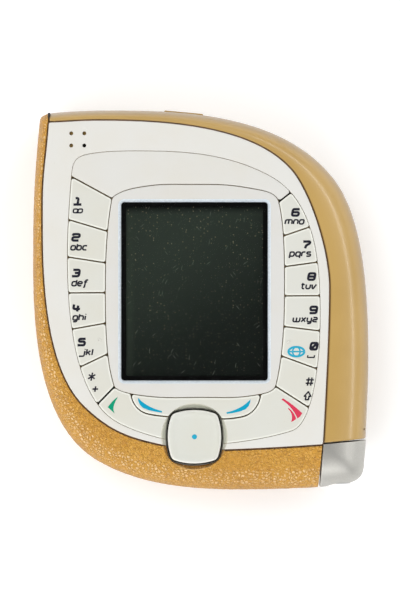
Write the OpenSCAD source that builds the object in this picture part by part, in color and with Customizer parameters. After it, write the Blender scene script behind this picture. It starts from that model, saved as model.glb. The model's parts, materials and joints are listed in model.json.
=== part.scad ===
// Leaf-shaped camera handset with its keys set in a ring round the display.
// Lies on its back: z = 0 is the resting face, +z faces the user, +y is the earpiece end.
// All sizes in millimetres.

/* [Body] */
// height of the front plate's upper face
plate_top = 17.9; // [17:0.1:19]
// thickness of the front plate
plate_t = 1.2; // [0.8:0.1:2]
// top of the raised number keys
key_top = 18.1; // [17.5:0.1:19]
// half height of the wrap covers
cover_half = 8.15; // [7.5:0.05:8.6]
// height of the middle of the wrap covers above the resting face
cover_mid = 9.65; // [9:0.05:10.5]
// wall thickness of the wrap covers
cover_wall = 1.3; // [1:0.1:2]
// roundness of the wrap covers, 2 is an ellipse
cover_power = 2.25; // [2:0.05:3]
// gap round the fixed front parts
seam_gap = 0.18; // [0.05:0.01:0.3]

/* [Display] */
// width of the display opening
view_w = 33.7; // [30:0.1:36]
// length of the display opening
view_h = 41; // [36:0.1:44]
// sideways position of the display
view_x = -1.5; // [-3:0.1:3]
// lengthways position of the display
view_y = 2; // [0:0.1:4]
// thickness of the clear window
window_t = 0.9; // [0.6:0.1:1.5]

/* [Keys] */
// travel of every pressed key
key_travel = 0.5; // [0.3:0.1:0.8]
// half of the gap between two keys
key_gap = 0.15; // [0.1:0.01:0.3]
// underside of the key flanges
flange_low = 15.4; // [15:0.1:15.8]
// thickness of the key flanges
flange_t = 1.0; // [0.6:0.1:1.2]
// how far the flanges reach under the plate
flange_reach = 0.8; // [0.4:0.1:1]
// radius of the plungers under the keys
plunger_r = 1.0; // [0.6:0.1:1.5]

/* [Navigation key] */
// sideways position of the navigation key
nav_x = -1.5; // [-3:0.1:3]
// lengthways position of the navigation key
nav_y = -31.4; // [-33:0.1:-29]
// width across the navigation key
nav_w = 12.2; // [10:0.1:13]
// radius of the round well it sits in
well_r = 7.7; // [7.4:0.1:8.2]
// top of the navigation key
nav_top = 18.6; // [18:0.1:19]

/* [Back] */
// thickness of the back panel
back_t = 1.2; // [1:0.1:1.6]
// battery door, left and right edges
door_l = -22; // [-24:0.5:-18]
door_r = 24; // [20:0.5:25]
// upper edge of the battery door
door_y = 16; // [12:0.5:20]
// battery width, length and thickness
battery_w = 34; // [30:1:36]
battery_h = 41; // [38:1:42]
battery_t = 3.4; // [3:0.1:3.6]

/* [Charger socket] */
// sideways position of the charger socket
socket_x = 31.6; // [30:0.1:33]
// bore radius of the charger socket
socket_r = 1.75; // [1:0.05:2]
// bore length of the charger socket
socket_len = 6; // [4:0.5:8]

/* [Hidden] */
$fn = 48;
eps = 0.02;
plate_low = plate_top - plate_t;

// ---- curves: each stop is [x, y, heading, handle in, handle out], run anticlockwise ----
function bez(a, b, t) =
  let (p = [a[0], a[1]], q = [b[0], b[1]],
       c = p + a[4] * [cos(a[2]), sin(a[2])], d = q - b[3] * [cos(b[2]), sin(b[2])], s = 1 - t)
  s*s*s*p + 3*s*s*t*c + 3*s*t*t*d + t*t*t*q;
function curve(stops, n) =
  [for (i = [0:len(stops) - 2]) for (j = [0:n - 1]) bez(stops[i], stops[i + 1], j / n)];
function whole(stops, n) = let (e = stops[len(stops) - 1]) concat(curve(stops, n), [[e[0], e[1]]]);
// the same curve moved inwards by d
function inward(stops, d) =
  [for (s = stops) [s[0] - d * sin(s[2]), s[1] + d * cos(s[2]), s[2], s[3], s[4]]];

// silhouette seen from the front, in three runs: left cover, cap, right cover
left_edge = [[-35.2, 43.0, 195, 0, 0.9], [-37.2, 41.4, 264, 1, 10], [-38.75, 13, 270, 10, 12],
  [-24.5, -36.7, 328, 18, 12], [9, -43.75, 360, 10, 6], [27, -43.2, 364, 6, 0]];
cap_edge = [[27.3, -43.15, 364, 0, 1.5], [31.6, -42.65, 367, 1.5, 3.6],
  [37.55, -38.2, 446, 3.4, 2], [37.95, -32.2, 448, 2, 0]];
right_edge = [[38, -31.9, 448, 0, 6], [38.65, -13.6, 450, 6, 16.5], [30.6, 28, 488, 11, 20],
  [-21.5, 43.75, 540, 15, 5], [-34.8, 43.1, 546, 4, 0]];
// seam between the front plate and the covers
left_seam = [[-35.1, 40.8, 266, 0, 8.5], [-36.5, 22.5, 270, 7, 12], [-26.6, -24.8, 317, 14.5, 7.6],
  [-9.3, -33.3, 348, 8, 8], [5.3, -34.5, 362, 8, 8], [27.9, -33.3, 364, 8, 0]];
right_seam = [[28.2, -32.8, 447, 0, 9], [29.6, 2.8, 450, 11, 9], [21.1, 29.7, 490, 6, 13.5],
  [-23.2, 41.4, 540, 15.5, 5], [-34.8, 40.95, 542, 5, 0]];
cap_corner = [28.15, -33.15];
// outline of the inner body under the plate
core = [[-34.7, 36, 268, 2.5, 6], [-36.0, 22.5, 270, 6, 12], [-26.2, -24.4, 317, 14.5, 7.5],
  [-9.2, -32.7, 348, 8, 8], [5.3, -33.9, 362, 8, 6], [24.5, -33.0, 364, 6, 2.2],
  [27.7, -29.5, 447, 2, 9], [29.1, 2.8, 450, 10, 9], [20.8, 29.3, 490, 6, 13.5],
  [-23.2, 40.9, 540, 15.5, 4], [-31, 40.5, 542, 2, 2.2], [-34.7, 36, 628, 2.5, 0]];
// outside and inside of the ring of keys
ring_out = [[-29.8, 28.3, 266, 2.5, 5], [-30.7, 9.6, 270, 8, 12], [-19.4, -28, 330, 11.5, 4],
  [3.2, -33.1, 362, 10, 5], [21, -30, 379, 5, 5], [27.4, -4, 450, 10, 10.5],
  [16.1, 28.4, 511, 12.5, 12], [-15.3, 34.3, 540, 9.5, 6], [-26.6, 33.4, 553, 2.5, 2.8],
  [-29.8, 28.3, 626, 2.5, 0]];
ring_in = [[-20.45, 23, 260, 1.2, 6.7], [-21.9, 2.8, 270, 7, 6], [-19.9, -19.7, 288, 6.8, 1.3],
  [-14.1, -21.8, 352, 1.7, 6], [0, -22.3, 360, 5, 6], [13.5, -21.6, 370, 5.8, 2],
  [17.1, -19.6, 434, 1.2, 5], [19.1, 0.2, 450, 6.5, 5.6], [17.8, 22.5, 464, 6.5, 2.2],
  [11.5, 25.6, 530, 3.3, 6], [-2, 26.5, 540, 5, 6], [-15, 25.7, 550, 6, 2.5],
  [-20.45, 23, 620, 1.2, 0]];
// lower edge of the two-way bar under the display
bar_edge = [[-16.1, -21.2, 268, 0, 1.5], [-12.4, -26.1, 345, 2.8, 1.5], [-7, -26.85, 355, 2, 4],
  [5, -27.3, 360, 4, 1.5], [9.5, -26.8, 372, 1.5, 2.2], [13.7, -21.2, 450, 3, 0]];
// height of each key seam where it meets x = -30 and x = -21 on the left
left_rungs = [[28.5, 23.6], [18.35, 15.65], [9.8, 8.4], [1.65, 1.7], [-6.75, -5.15],
  [-16.45, -12.15], [-30.35, -21.1]];
// and x = 27 and x = 18 on the right
right_rungs = [[29.65, 22.7], [17.5, 14.4], [8.75, 7.5], [1, 0.95], [-7.05, -5.95],
  [-15.95, -12.65], [-26.1, -20.35]];

seam_loop = concat(whole(inward(left_seam, seam_gap), 9), whole(inward(right_seam, seam_gap), 9));
function core_loop(d, n = 6) = curve(inward(core, d), n);
function ring_loop(d, n = 8) = curve(inward(ring_out, d), n);
function hub_loop(d, n = 5) = curve(inward(ring_in, d), n);

module slab(z, t) { translate([0, 0, z]) linear_extrude(t) children(); }
module core2(d) { polygon(core_loop(d)); }
module view2(grow) {
  translate([view_x, view_y]) square([view_w + 2*grow, view_h + 2*grow], center = true);
}
module well2(grow = 0) { translate([nav_x, nav_y]) circle(well_r + grow, $fn = 72); }

// ---- wrap covers ----
function near(p, q) = let (d = [for (v = q) norm(v - p)], m = min(d)) search(m, d)[0];
function at(q, x) = let (i = min(floor(x), len(q) - 2)) q[i] + (x - i) * (q[i + 1] - q[i]);
// for every point of the edge, the point of the seam that faces it
function facing(edge, seam) =
  let (j = [for (p = edge) near(p, seam)], low = j[0], top = j[len(j) - 1], n = len(seam) - 1)
  [for (v = j) at(seam, (v - low) * n / (top - low))];
function sup(v) = sign(v) * pow(abs(v), 2 / cover_power);
steps = 10;
function shell_section(o, i) =
  let (w = o - i, l = norm(w), h = cover_half)
  concat(
    [for (k = [0:steps]) let (a = 90 - 180 * k / steps, c = k == 0 || k == steps ? 0 : sup(cos(a)))
      [i[0] + w[0] * c, i[1] + w[1] * c, cover_mid + h * sup(sin(a))]],
    [for (k = [steps:-1:0]) let (a = 90 - 180 * k / steps,
        c = k == 0 || k == steps ? 0 : sup(cos(a)) * (l - cover_wall) / l)
      [i[0] + w[0] * c, i[1] + w[1] * c, cover_mid + (h - cover_wall) * sup(sin(a))]]);
module shell(edge, seam) {
  inner = facing(edge, seam);
  m = 2 * (steps + 1);
  n = len(edge);
  half = steps + 1;
  pts = [for (s = [0:n - 1]) for (p = shell_section(edge[s], inner[s])) p];
  sides = [for (s = [0:n - 2]) for (k = [0:m - 1]) let (a = s*m + k, b = s*m + (k + 1) % m)
    each [[a, b, a + m], [b, b + m, a + m]]];
  ends = [for (k = [0:steps - 1]) let (a = k, b = k + 1, c = m - 1 - k, d = m - 2 - k, e = (n - 1)*m)
    each [[a, c, b], [b, c, d], [e + a, e + b, e + c], [e + b, e + d, e + c]]];
  polyhedron(pts, concat(sides, ends));
}

// the power key follows the cover's slope at the top edge
power_w = 9;
module power_place() { translate([-4, 43.15, cover_mid]) rotate([0, 0, -5.2]) children(); }

module left_cover() color([0.74, 0.53, 0.27]) difference() {
  shell(whole(left_edge, 9), whole(left_seam, 24));
  slab(12, 8) well2(0.2);
  // mouth of the system connector
  translate([10.8, -50, 6.6]) cube([12.4, 12, 4]);
}

module right_cover() color([0.72, 0.6, 0.38]) difference() {
  shell(whole(right_edge, 11), whole(right_seam, 24));
  power_place() translate([-power_w/2 - 0.15, -3, -1.25]) cube([power_w + 0.3, 6, 2.5]);
  translate([37.2, -29.8, 12]) rotate([0, 30, 0]) cylinder(r = 0.5, h = 6, $fn = 16);
}

// silver corner, a fan of sections meeting at the plate corner
module corner_cap() color([0.75, 0.76, 0.78]) difference() {
  edge = whole(cap_edge, 5);
  n = len(edge);
  m = steps - 1;
  top = n * m;
  pts = concat(
    [for (s = [0:n - 1]) for (k = [1:steps - 1])
      let (a = 90 - 180 * k / steps, p = cap_corner + (edge[s] - cap_corner) * sup(cos(a)))
      [p[0], p[1], cover_mid + cover_half * sup(sin(a))]],
    [for (h = [cover_half, -cover_half]) [cap_corner[0], cap_corner[1], cover_mid + h]]);
  sides = [for (s = [0:n - 2]) for (k = [0:m - 2]) let (a = s*m + k, b = a + 1)
    each [[a, b, a + m], [b, b + m, a + m]]];
  poles = [for (s = [0:n - 2]) each [[top, s*m, (s + 1)*m], [top + 1, (s + 1)*m + m - 1, s*m + m - 1]]];
  ends = [for (e = [0, (n - 1)*m]) for (k = [0:m - 1])
    let (a = e + k, b = k == m - 1 ? top + 1 : e + k + 1)
    e == 0 ? [top, b, a] : [top, a, b]];
  polyhedron(pts, concat(sides, poles, ends));
  translate([socket_x, -30, cover_mid]) rotate([90, 0, 0]) cylinder(r = 2.85, h = 20);
}

// ---- fixed front parts ----
module front_cover() color([0.93, 0.92, 0.9]) difference() {
  union() {
    slab(plate_low, plate_t) polygon(seam_loop);
    slab(12.62, plate_low - 12.62) difference() { core2(0.1); core2(0.75); }
  }
  slab(plate_low - eps, plate_t + 1) polygon(ring_loop(-0.12));
  slab(12, 8) well2();
  // earpiece holes
  for (x = [0, 3], y = [0, -2.8])
    translate([-29.8 + x, 38.3 + y, plate_low - 1]) cylinder(r = 0.45, h = 4, $fn = 24);
}

module band2(g) difference() { polygon(ring_loop(g)); polygon(hub_loop(-g)); }
module top2() intersection() {
  band2(key_gap);
  polygon([rung_l(0, -45, key_gap), rung_l(0, -12, key_gap), rung_r(0, 12, key_gap),
    rung_r(0, 45, key_gap), [45, 60], [-45, 60]]);
}
module top_trim() color([0.91, 0.9, 0.88]) union() {
  slab(15.2, 2.75) top2();
  slab(12.62, 2.6) intersection() {
    top2();
    for (x = [-25, -18, 0, 12]) translate([x, 27.5]) square([3, 4], center = false);
  }
}

module display_surround() color([0.9, 0.89, 0.86]) difference() {
  union() {
    slab(plate_low, plate_t + 0.05) polygon(hub_loop(0.02));
    slab(12.62, plate_low - 12.62) intersection() { polygon(hub_loop(1.1)); view2(2.5); }
  }
  slab(plate_low - 1.2, 4) view2(0);
  slab(10, plate_low - 10 - 0.05) view2(1.1);
}

module display_window() color([0.8, 0.86, 0.88, 0.4]) slab(plate_low - 0.1 - window_t, window_t) view2(0.9);
module display_gasket() color([0.1, 0.1, 0.1]) slab(15.3, 0.36) difference() { view2(0.9); view2(-0.9); }
module display_module() color([0.16, 0.18, 0.17]) slab(12.35, 2.9) view2(0.3);
module display_frame() color([0.7, 0.71, 0.72]) difference() {
  slab(11.85, 3.4) view2(0.9);
  slab(12.3, 4) view2(0.35);
}

// ---- keys ----
// the seam's height at x, moved up by d across the seam
function seam_at(r, x, x0, run, d) =
  let (k = (r[0] - r[1]) / run) [x, r[1] + k * (x - x0) + d * sqrt(1 + k*k)];
function rung_l(i, x, d) = seam_at(left_rungs[i], x, -21, -9, d);
function rung_r(i, x, d) = seam_at(right_rungs[i], x, 18, 9, d);
module wedge_l(i, g)
  polygon([rung_l(i, -45, -g), rung_l(i + 1, -45, g), rung_l(i + 1, -8, g), rung_l(i, -8, -g)]);
module wedge_r(i, g)
  polygon([rung_r(i, 8, -g), rung_r(i + 1, 8, g), rung_r(i + 1, 45, g), rung_r(i, 45, -g)]);
module below_l(g)
  polygon([rung_l(6, -45, -g), [-45, -70], [nav_x, -70], [nav_x, -20], rung_l(6, -14, -g)]);
module below_r(g)
  polygon([rung_r(6, 12, -g), [nav_x, -20], [nav_x, -70], [45, -70], rung_r(6, 45, -g)]);

// cap, flange and plunger of a key: the first child is the cap's sector, the second the flange's
module key_solid(pc) {
  cap_low = flange_low + flange_t - eps;
  slab(cap_low, key_top - cap_low) intersection() {
    band2(key_gap);
    children(0);
  }
  slab(flange_low, flange_t) intersection() {
    band2(-flange_reach);
    core2(0.95);
    children(1);
  }
  translate([pc[0], pc[1], plunger_low])
    cylinder(r = plunger_r, h = flange_low - plunger_low + eps, $fn = 32);
}
plunger_low = 13.4;
key_tone = [0.9, 0.9, 0.87];
left_spots = [[-25.6, 22], [-26.2, 13.2], [-26.2, 5.6], [-26, -1.8], [-24.8, -9.6], [-22.7, -17.6]];
right_spots = [[21, 18.8], [22.8, 12.1], [23.3, 4.7], [23.3, -2.8], [22.9, -10.1], [21.9, -18.2]];
call_spot = [-15.5, -27.3];
end_spot = [15.5, -26.9];
bar_spots = [[-12.8, -24], [10.3, -24.2]];
// the flanges are a hair narrower than the caps
flange_gap = key_gap + 0.05;
module number_l(i) color(key_tone) key_solid(left_spots[i]) {
  wedge_l(i, key_gap);
  wedge_l(i, flange_gap);
}
module number_r(i) color(key_tone) key_solid(right_spots[i]) {
  wedge_r(i, key_gap);
  wedge_r(i, flange_gap);
}
module key_1() number_l(0);
module key_2() number_l(1);
module key_3() number_l(2);
module key_4() number_l(3);
module key_5() number_l(4);
module key_star() number_l(5);
module key_6() number_r(0);
module key_7() number_r(1);
module key_8() number_r(2);
module key_9() number_r(3);
module key_0() number_r(4);
module key_hash() number_r(5);
module bar2(g) {
  polygon(concat(whole(inward(bar_edge, g), 5), [[13.7 - g, -18], [-16.1 + g, -18]]));
}
module clear2(g) difference() {
  children();
  bar2(-g);
  well2(g);
}
module call_key() color(key_tone) key_solid(call_spot) {
  clear2(key_gap) below_l(key_gap);
  clear2(flange_gap) below_l(flange_gap);
}
module end_key() color(key_tone) key_solid(end_spot) {
  clear2(key_gap) below_r(key_gap);
  clear2(flange_gap) below_r(flange_gap);
}
// two-way bar, rocks about a pin along y over the navigation key
module soft_key_bar() color(key_tone) union() {
  slab(flange_low, key_top - flange_low) difference() {
    intersection() {
      bar2(key_gap);
      band2(key_gap);
    }
    well2(key_gap);
  }
  for (p = bar_spots) translate([p[0], p[1], 13.5]) cylinder(r = 0.9, h = 2, $fn = 32);
  translate([nav_x, -22.75, 15]) rotate([90, 0, 0]) cylinder(r = 0.5, h = 0.75, $fn = 32);
  translate([nav_x - 0.4, -23.5, 15]) cube([0.8, 0.75, 0.6]);
}

// ---- navigation key ----
// four-sided outline with bowed sides and round corners
module barrel2(grow) {
  translate([nav_x, nav_y]) offset(2.2 + grow, $fn = 32) offset(-2.2)
    intersection_for(a = [0, 90]) rotate(a) intersection() {
      translate([14.4 - nav_w / 2, 0]) circle(14.4, $fn = 160);
      translate([nav_w / 2 - 14.4, 0]) circle(14.4, $fn = 160);
    }
}
module nav_key() color([0.9, 0.89, 0.87]) union() {
  difference() {
    slab(15.9, nav_top - 15.9) barrel2(0);
    slab(nav_top - 0.45, 1) barrel2(-1.1);
  }
  slab(13.25, 2.9) translate([nav_x, nav_y]) circle(2.2);
}
// height of the two rocking axes
nav_z = 14.45;
module pin(a, r0, r1, r) {
  translate([nav_x, nav_y, nav_z]) rotate([0, 90, a])
    translate([0, 0, r0]) cylinder(r = r, h = r1 - r0, $fn = 32);
}
module hoop(z, h, ri, ro) {
  slab(z, h) translate([nav_x, nav_y]) difference() {
    circle(ro);
    circle(ri);
  }
}
// sleeve round the stem, rocks left and right on pins along y
module nav_carrier() color([0.55, 0.56, 0.58]) union() {
  hoop(13.85, 1.2, 2.25, 3.1);
  for (a = [90, 270]) pin(a, 3.0, 3.8, 0.35);
}
// outer ring, rocks up and down on pins along x
module nav_gimbal() color([0.7, 0.71, 0.73]) union() {
  difference() {
    hoop(13.85, 1.2, 3.3, 4.4);
    for (a = [90, 270]) pin(a, 3.0, 3.9, 0.4);
  }
  for (a = [0, 180]) pin(a, 4.3, 5.2, 0.35);
}
module nav_bracket() color([0.3, 0.31, 0.33]) difference() {
  union() {
    hoop(12.62, 2.5, 4.65, 6.6);
    hoop(14.62, 0.5, 4.65, 7.3);
    translate([nav_x - 1.5, -24.85, 12.62]) cube([3, 2, 1.75]);
    for (s = [-1, 1]) translate([nav_x - 0.55 + s * 1.05, -24.85, 12.62]) cube([1.1, 2.2, 2.5]);
  }
  for (a = [0, 180]) pin(a, 4.0, 5.3, 0.4);
  translate([nav_x, -22.3, 15]) rotate([90, 0, 0]) cylinder(r = 0.56, h = 3, $fn = 32);
}
module nav_collar() color([0.72, 0.73, 0.75]) difference() {
  slab(15.12, 2.1) translate([nav_x, nav_y]) circle(7.55, $fn = 72);
  slab(15, 4) barrel2(0.5);
}

// ---- layers under the keys ----
module keymat() color([0.35, 0.37, 0.4]) difference() {
  slab(13.95, 0.6) core2(1.1);
  slab(13, 3) {
    view2(2.6);
    well2(-0.8);
    translate([nav_x - 2.4, -25.2]) square([4.8, 5]);
  }
  for (p = concat(left_spots, right_spots, [call_spot, end_spot]))
    translate([p[0], p[1], 13]) cylinder(r = 1.25, h = 3, $fn = 32);
  for (p = bar_spots) translate([p[0], p[1], 13]) cylinder(r = 1.15, h = 3, $fn = 32);
  for (x = [-25, -18, 0, 12]) translate([x - 0.1, 27.3, 13]) cube([3.2, 4.2, 3]);
  translate([-31.3, 33.9, 12]) cube([6, 10, 4]);
}
module keypad_board() color([0.12, 0.36, 0.2]) difference() {
  slab(12.02, 0.56) core2(0.5);
  slab(11, 3) view2(1.2);
}
module key_domes() color([0.8, 0.8, 0.82]) {
  for (p = concat(left_spots, right_spots, [call_spot, end_spot], bar_spots, [[nav_x, nav_y]]))
    translate([p[0], p[1], 12.58]) cylinder(r1 = 2, r2 = 0.8, h = 0.22, $fn = 32);
}

module mid_frame() color([0.5, 0.51, 0.53]) difference() {
  union() {
    slab(10.6, 1.2) core2(0.1);
    slab(11.78, 0.22) difference() { core2(0.3); core2(1.6); }
    for (x = [-31, 25.5], y = [-4, 4]) translate([x, y, 9.65]) cylinder(r = 1.2, h = 1, $fn = 24);
    // arm under the microphone
    translate([26, -30.6, 10.6]) cube([9.4, 4, 1.2]);
  }
  translate([-10, -12, 10]) cube([14, 3, 4]);
}

// ---- electronics ----
module main_board() color([0.1, 0.34, 0.22]) difference() {
  slab(8.8, 0.8) core2(1.8);
  slab(8, 3) translate([-24, 30]) square([8.2, 8.2], center = true);
}
module shield_cans() color([0.78, 0.79, 0.8]) {
  translate([-14, -28.5, 6.75]) cube([14, 10.5, 2.05]);
  translate([3, -30, 6.75]) cube([18, 14, 2.05]);
  translate([-12, 17.5, 6.75]) cube([14, 15, 2.05]);
}
module ear_speaker() color([0.35, 0.33, 0.3]) translate([-28.3, 36.9, 12.6]) cylinder(r = 2.6, h = 3.3);
module ear_mesh() color([0.8, 0.66, 0.4]) translate([-28.3, 36.9, 15.95]) cylinder(r = 2.55, h = 0.7);
speaker_at = [10.5, 26.5];
module loudspeaker() color([0.2, 0.2, 0.22]) slab(1.3, 4.5) translate(speaker_at) circle(5.6);
module vibrator_motor() color([0.75, 0.75, 0.77]) translate([-30.6, 10, 4.2]) rotate([90, 0, 0]) {
  cylinder(r = 2.2, h = 11);
  translate([0, 0, -3.9]) cylinder(r = 0.4, h = 4);
}
// half-round weight on the motor shaft
module vibrator_weight() color([0.6, 0.58, 0.55])
  translate([-30.6, 10.35, 4.2]) rotate([-90, 0, 0]) difference() {
  cylinder(r = 1.9, h = 3.4);
  translate([-3, -4.6, -1]) cube([6, 4, 6]);
  translate([0, 0, -1]) cylinder(r = 0.45, h = 6);
}
module microphone() color([0.6, 0.6, 0.62]) translate([33.2, -28.6, 11.82]) cylinder(r = 1.9, h = 1.4);
module antenna() color([0.75, 0.6, 0.3]) union() {
  translate([-14, 34, 7]) cube([1, 2, 1.78]);
  slab(6.7, 0.5) difference() {
    intersection() {
      core2(2);
      translate([-34, 33.4]) square([36, 12]);
    }
    translate([-24, 30]) circle(5.9);
    translate([-28, 36.4]) square([26, 0.9]);
  }
}
module system_connector() color([0.16, 0.16, 0.18]) difference() {
  translate([11, -41.5, 6.8]) cube([12, 9.3, 3.6]);
  translate([12, -43.5, 7.6]) cube([10, 6, 2]);
}
module charger_socket() color([0.8, 0.8, 0.82]) difference() {
  translate([socket_x, -34.75, cover_mid]) rotate([90, 0, 0]) cylinder(r = 2.83, h = 7.6);
  translate([socket_x, -42.35 + socket_len, cover_mid]) rotate([90, 0, 0]) cylinder(r = socket_r, h = 10);
}
module power_key() color([0.75, 0.76, 0.78]) power_place() {
  translate([-power_w/2, -1.6, -1.1]) cube([power_w, 1.8, 2.2]);
  translate([-power_w/2 - 1, -2.2, -1.1]) cube([power_w + 2, 0.62, 2.2]);
}

// ---- back ----
module housing_wall2() difference() {
  core2(0.1);
  core2(1.3);
}
module lane2(g) {
  translate([door_l - g, -60]) square([door_r - door_l + 2*g, door_y + 60.15]);
}
module rear_housing() color([0.78, 0.78, 0.77]) difference() {
  union() {
    slab(0, back_t) polygon(seam_loop);
    slab(back_t - 0.01, 10.6 - back_t) housing_wall2();
    // deck over the battery bay, carried by the side walls
    slab(5.95, 0.65) difference() {
      core2(0.3);
      translate([-60, 17]) square([120, 60]);
      translate([-33.4, -2]) square([5.8, 16.4]);
    }
    // walls of the battery bay
    slab(back_t - 0.01, 5.41) intersection() {
      core2(0.3);
      union() {
        for (x = [-20, 17]) translate([x, -30]) square([1, 47]);
        translate([-20, 16]) square([38, 1]);
      }
    }
    slab(back_t + 0.3, 5.1) intersection() {
      core2(0.3);
      translate([-20, -30]) square([38, 1]);
    }
    for (p = screw_spots) translate([p[0], p[1], back_t - 0.01]) cylinder(r = 2, h = 7.6, $fn = 32);
    // cradle of the vibration motor
    for (y = [1, 7]) translate([-33.4, y, back_t - 0.01]) cube([5.6, 1, 3]);
  }
  slab(-1, 1.58) lane2(0.15);
  slab(0.56, 0.84) lane2(0.85);
  slab(-1, 2.4) translate([-4.6, 17.4]) square([9.2, 4.4]);
  translate([-3.4, 12, 1.1]) cube([6.8, 8, 2.1]);
  translate([-24, 30, -1]) cylinder(r = 5.05, h = 5);
  for (i = [-3:3], j = [-1, 1])
    translate([speaker_at[0] + i * 1.5, speaker_at[1] + j * 0.8, -1]) cylinder(r = 0.45, h = 5, $fn = 16);
  for (p = screw_spots) translate([p[0], p[1], -1]) {
    cylinder(r = 1.3, h = 1.8, $fn = 32);
    cylinder(r = 0.85, h = 9, $fn = 32);
  }
  translate([-30.6, 20, 4.2]) rotate([90, 0, 0]) cylinder(r = 2.22, h = 30);
  translate([10.9, -42, 6.7]) cube([12.2, 9.9, 3.9]);
}
screw_spots = [[-31.2, 31], [23, 19], [-27, -12], [26, -24]];
module housing_screws() color([0.7, 0.7, 0.72])
  for (p = screw_spots) translate([p[0], p[1], 0.1]) difference() {
  union() {
    cylinder(r = 1.2, h = 0.65, $fn = 32);
    cylinder(r = 0.8, h = 7, $fn = 32);
  }
  for (a = [0, 90]) rotate(a) translate([-0.9, -0.2, -0.1]) cube([1.8, 0.4, 0.4]);
}
// slides off towards the lower end, guided by two ribs
module door2(g) intersection() {
  polygon(seam_loop);
  translate([door_l - g, -60]) square([door_r - door_l + 2*g, door_y + 60]);
}
module battery_door() color([0.8, 0.8, 0.79]) difference() {
  union() {
    slab(0.1, back_t - 0.15) door2(0);
    slab(0.65, back_t - 0.7) door2(0.7);
  }
  translate([-3.3, 13.2, 0.5]) cube([6.6, 9, 2]);
  for (i = [0:3]) translate([-6, -26 + i * 1.6, -0.45]) cube([14, 0.7, 0.75]);
}
// button in the back panel; pressing it lifts its tongue out of the door's notch
module door_latch() color([0.3, 0.31, 0.33]) union() {
  translate([-4.45, 17.55, 0.1]) cube([8.9, 4.1, 1.2]);
  translate([-3.1, 13.4, 1.28]) cube([6.2, 8.2, 0.7]);
  translate([-3.1, 13.4, 0.6]) cube([6.2, 1, 0.8]);
}
battery_low = [-17.4, -28.4];
module battery() color([0.2, 0.22, 0.25])
  translate([battery_low[0], battery_low[1], 1.45]) cube([battery_w, battery_h, battery_t]);
module battery_contacts() color([0.85, 0.7, 0.35])
  for (x = [-9, -5, 3, 7])
    translate([x, battery_low[1] + battery_h + 0.05, 3.4]) cube([1.4, 3.3, 1]);
module sim_holder() color([0.75, 0.76, 0.78]) difference() {
  translate([-14, -23.5, 4.95]) cube([28.6, 18, 0.98]);
  translate([-12.6, -22.1, 5.05]) cube([25.3, 30, 2]);
  translate([-9, -20, 4]) cube([18, 12, 2]);
}
module sim_card() color([0.85, 0.83, 0.75]) difference() {
  translate([-12.5, -22, 5.1]) cube([25, 15, 0.8]);
  translate([12.5, -22, 5]) rotate([0, 0, 45]) cube([3, 3, 3], center = true);
}
module camera_ring() color([0.75, 0.76, 0.78]) translate([-24, 30, 0]) difference() {
  cylinder(r = 5, h = 1.6);
  translate([0, 0, -1]) cylinder(r = 3.2, h = 4);
}
module camera_lens() color([0.1, 0.1, 0.12, 0.5]) translate([-24, 30, 0.6]) cylinder(r = 3.15, h = 0.8);
module camera_module() color([0.12, 0.12, 0.13]) difference() {
  union() {
    translate([-24, 30, 1.7]) cylinder(r = 4.6, h = 2.5);
    translate([-28, 26, 4.1]) cube([8, 8, 5]);
  }
  translate([-24, 30, 1]) cylinder(r = 2.4, h = 2);
}

mid_frame();
front_cover();
top_trim();
display_surround();
display_window();
display_gasket();
display_module();
display_frame();
left_cover();
right_cover();
corner_cap();
rear_housing();
battery_door();
door_latch();
battery();
battery_contacts();
sim_holder();
sim_card();
camera_ring();
camera_lens();
camera_module();
main_board();
shield_cans();
keymat();
keypad_board();
key_domes();
key_1();
key_2();
key_3();
key_4();
key_5();
key_star();
key_6();
key_7();
key_8();
key_9();
key_0();
key_hash();
call_key();
end_key();
soft_key_bar();
nav_key();
nav_carrier();
nav_gimbal();
nav_bracket();
nav_collar();
ear_speaker();
ear_mesh();
loudspeaker();
vibrator_motor();
vibrator_weight();
microphone();
antenna();
system_connector();
charger_socket();
power_key();
housing_screws();
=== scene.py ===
"""Looks of the leaf-shaped camera handset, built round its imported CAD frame.

Lengths inside this script are in millimetres in the CAD frame, and MM turns them into metres.
z = 0 is the back, +z faces the user and +y is the earpiece end.
"""

import json
import math

import bmesh
import bpy
import numpy as np
from mathutils import Matrix, Vector
from mathutils.geometry import delaunay_2d_cdt


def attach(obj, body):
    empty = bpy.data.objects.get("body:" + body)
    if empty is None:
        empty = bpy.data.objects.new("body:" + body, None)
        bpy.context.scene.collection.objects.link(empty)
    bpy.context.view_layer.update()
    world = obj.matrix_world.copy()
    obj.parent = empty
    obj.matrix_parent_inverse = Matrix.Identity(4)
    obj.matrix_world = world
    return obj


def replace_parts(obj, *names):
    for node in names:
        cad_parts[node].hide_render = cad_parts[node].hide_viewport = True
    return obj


MM = 0.001
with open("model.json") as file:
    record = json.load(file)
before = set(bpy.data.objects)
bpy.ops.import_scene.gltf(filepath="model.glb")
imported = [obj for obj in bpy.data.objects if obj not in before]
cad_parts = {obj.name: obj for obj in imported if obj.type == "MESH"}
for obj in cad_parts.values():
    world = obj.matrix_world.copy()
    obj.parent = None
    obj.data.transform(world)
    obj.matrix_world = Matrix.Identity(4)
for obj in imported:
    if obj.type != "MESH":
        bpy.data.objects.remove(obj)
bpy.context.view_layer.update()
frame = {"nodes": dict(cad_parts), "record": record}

# ---------------------------------------------------------------- driving sizes
PLATE_TOP = 17.9
PLATE_LOW = 16.7
SKIRT_LOW = 12.7
FLANGE_LOW = 15.4
FLANGE_TOP = 16.4
KEY_TOP = 18.1
NAV_TOP = 18.6
COVER_MID = 9.65
COVER_HALF = 8.15
COVER_WALL = 1.3
COVER_POWER = 2.25
KEY_GAP = 0.15
NAV = np.array([-1.5, -31.4])
NAV_W = 12.3
WELL_R = 7.7
WELL_SILL = 0.52
TRAY_TOP = 15.85
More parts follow.
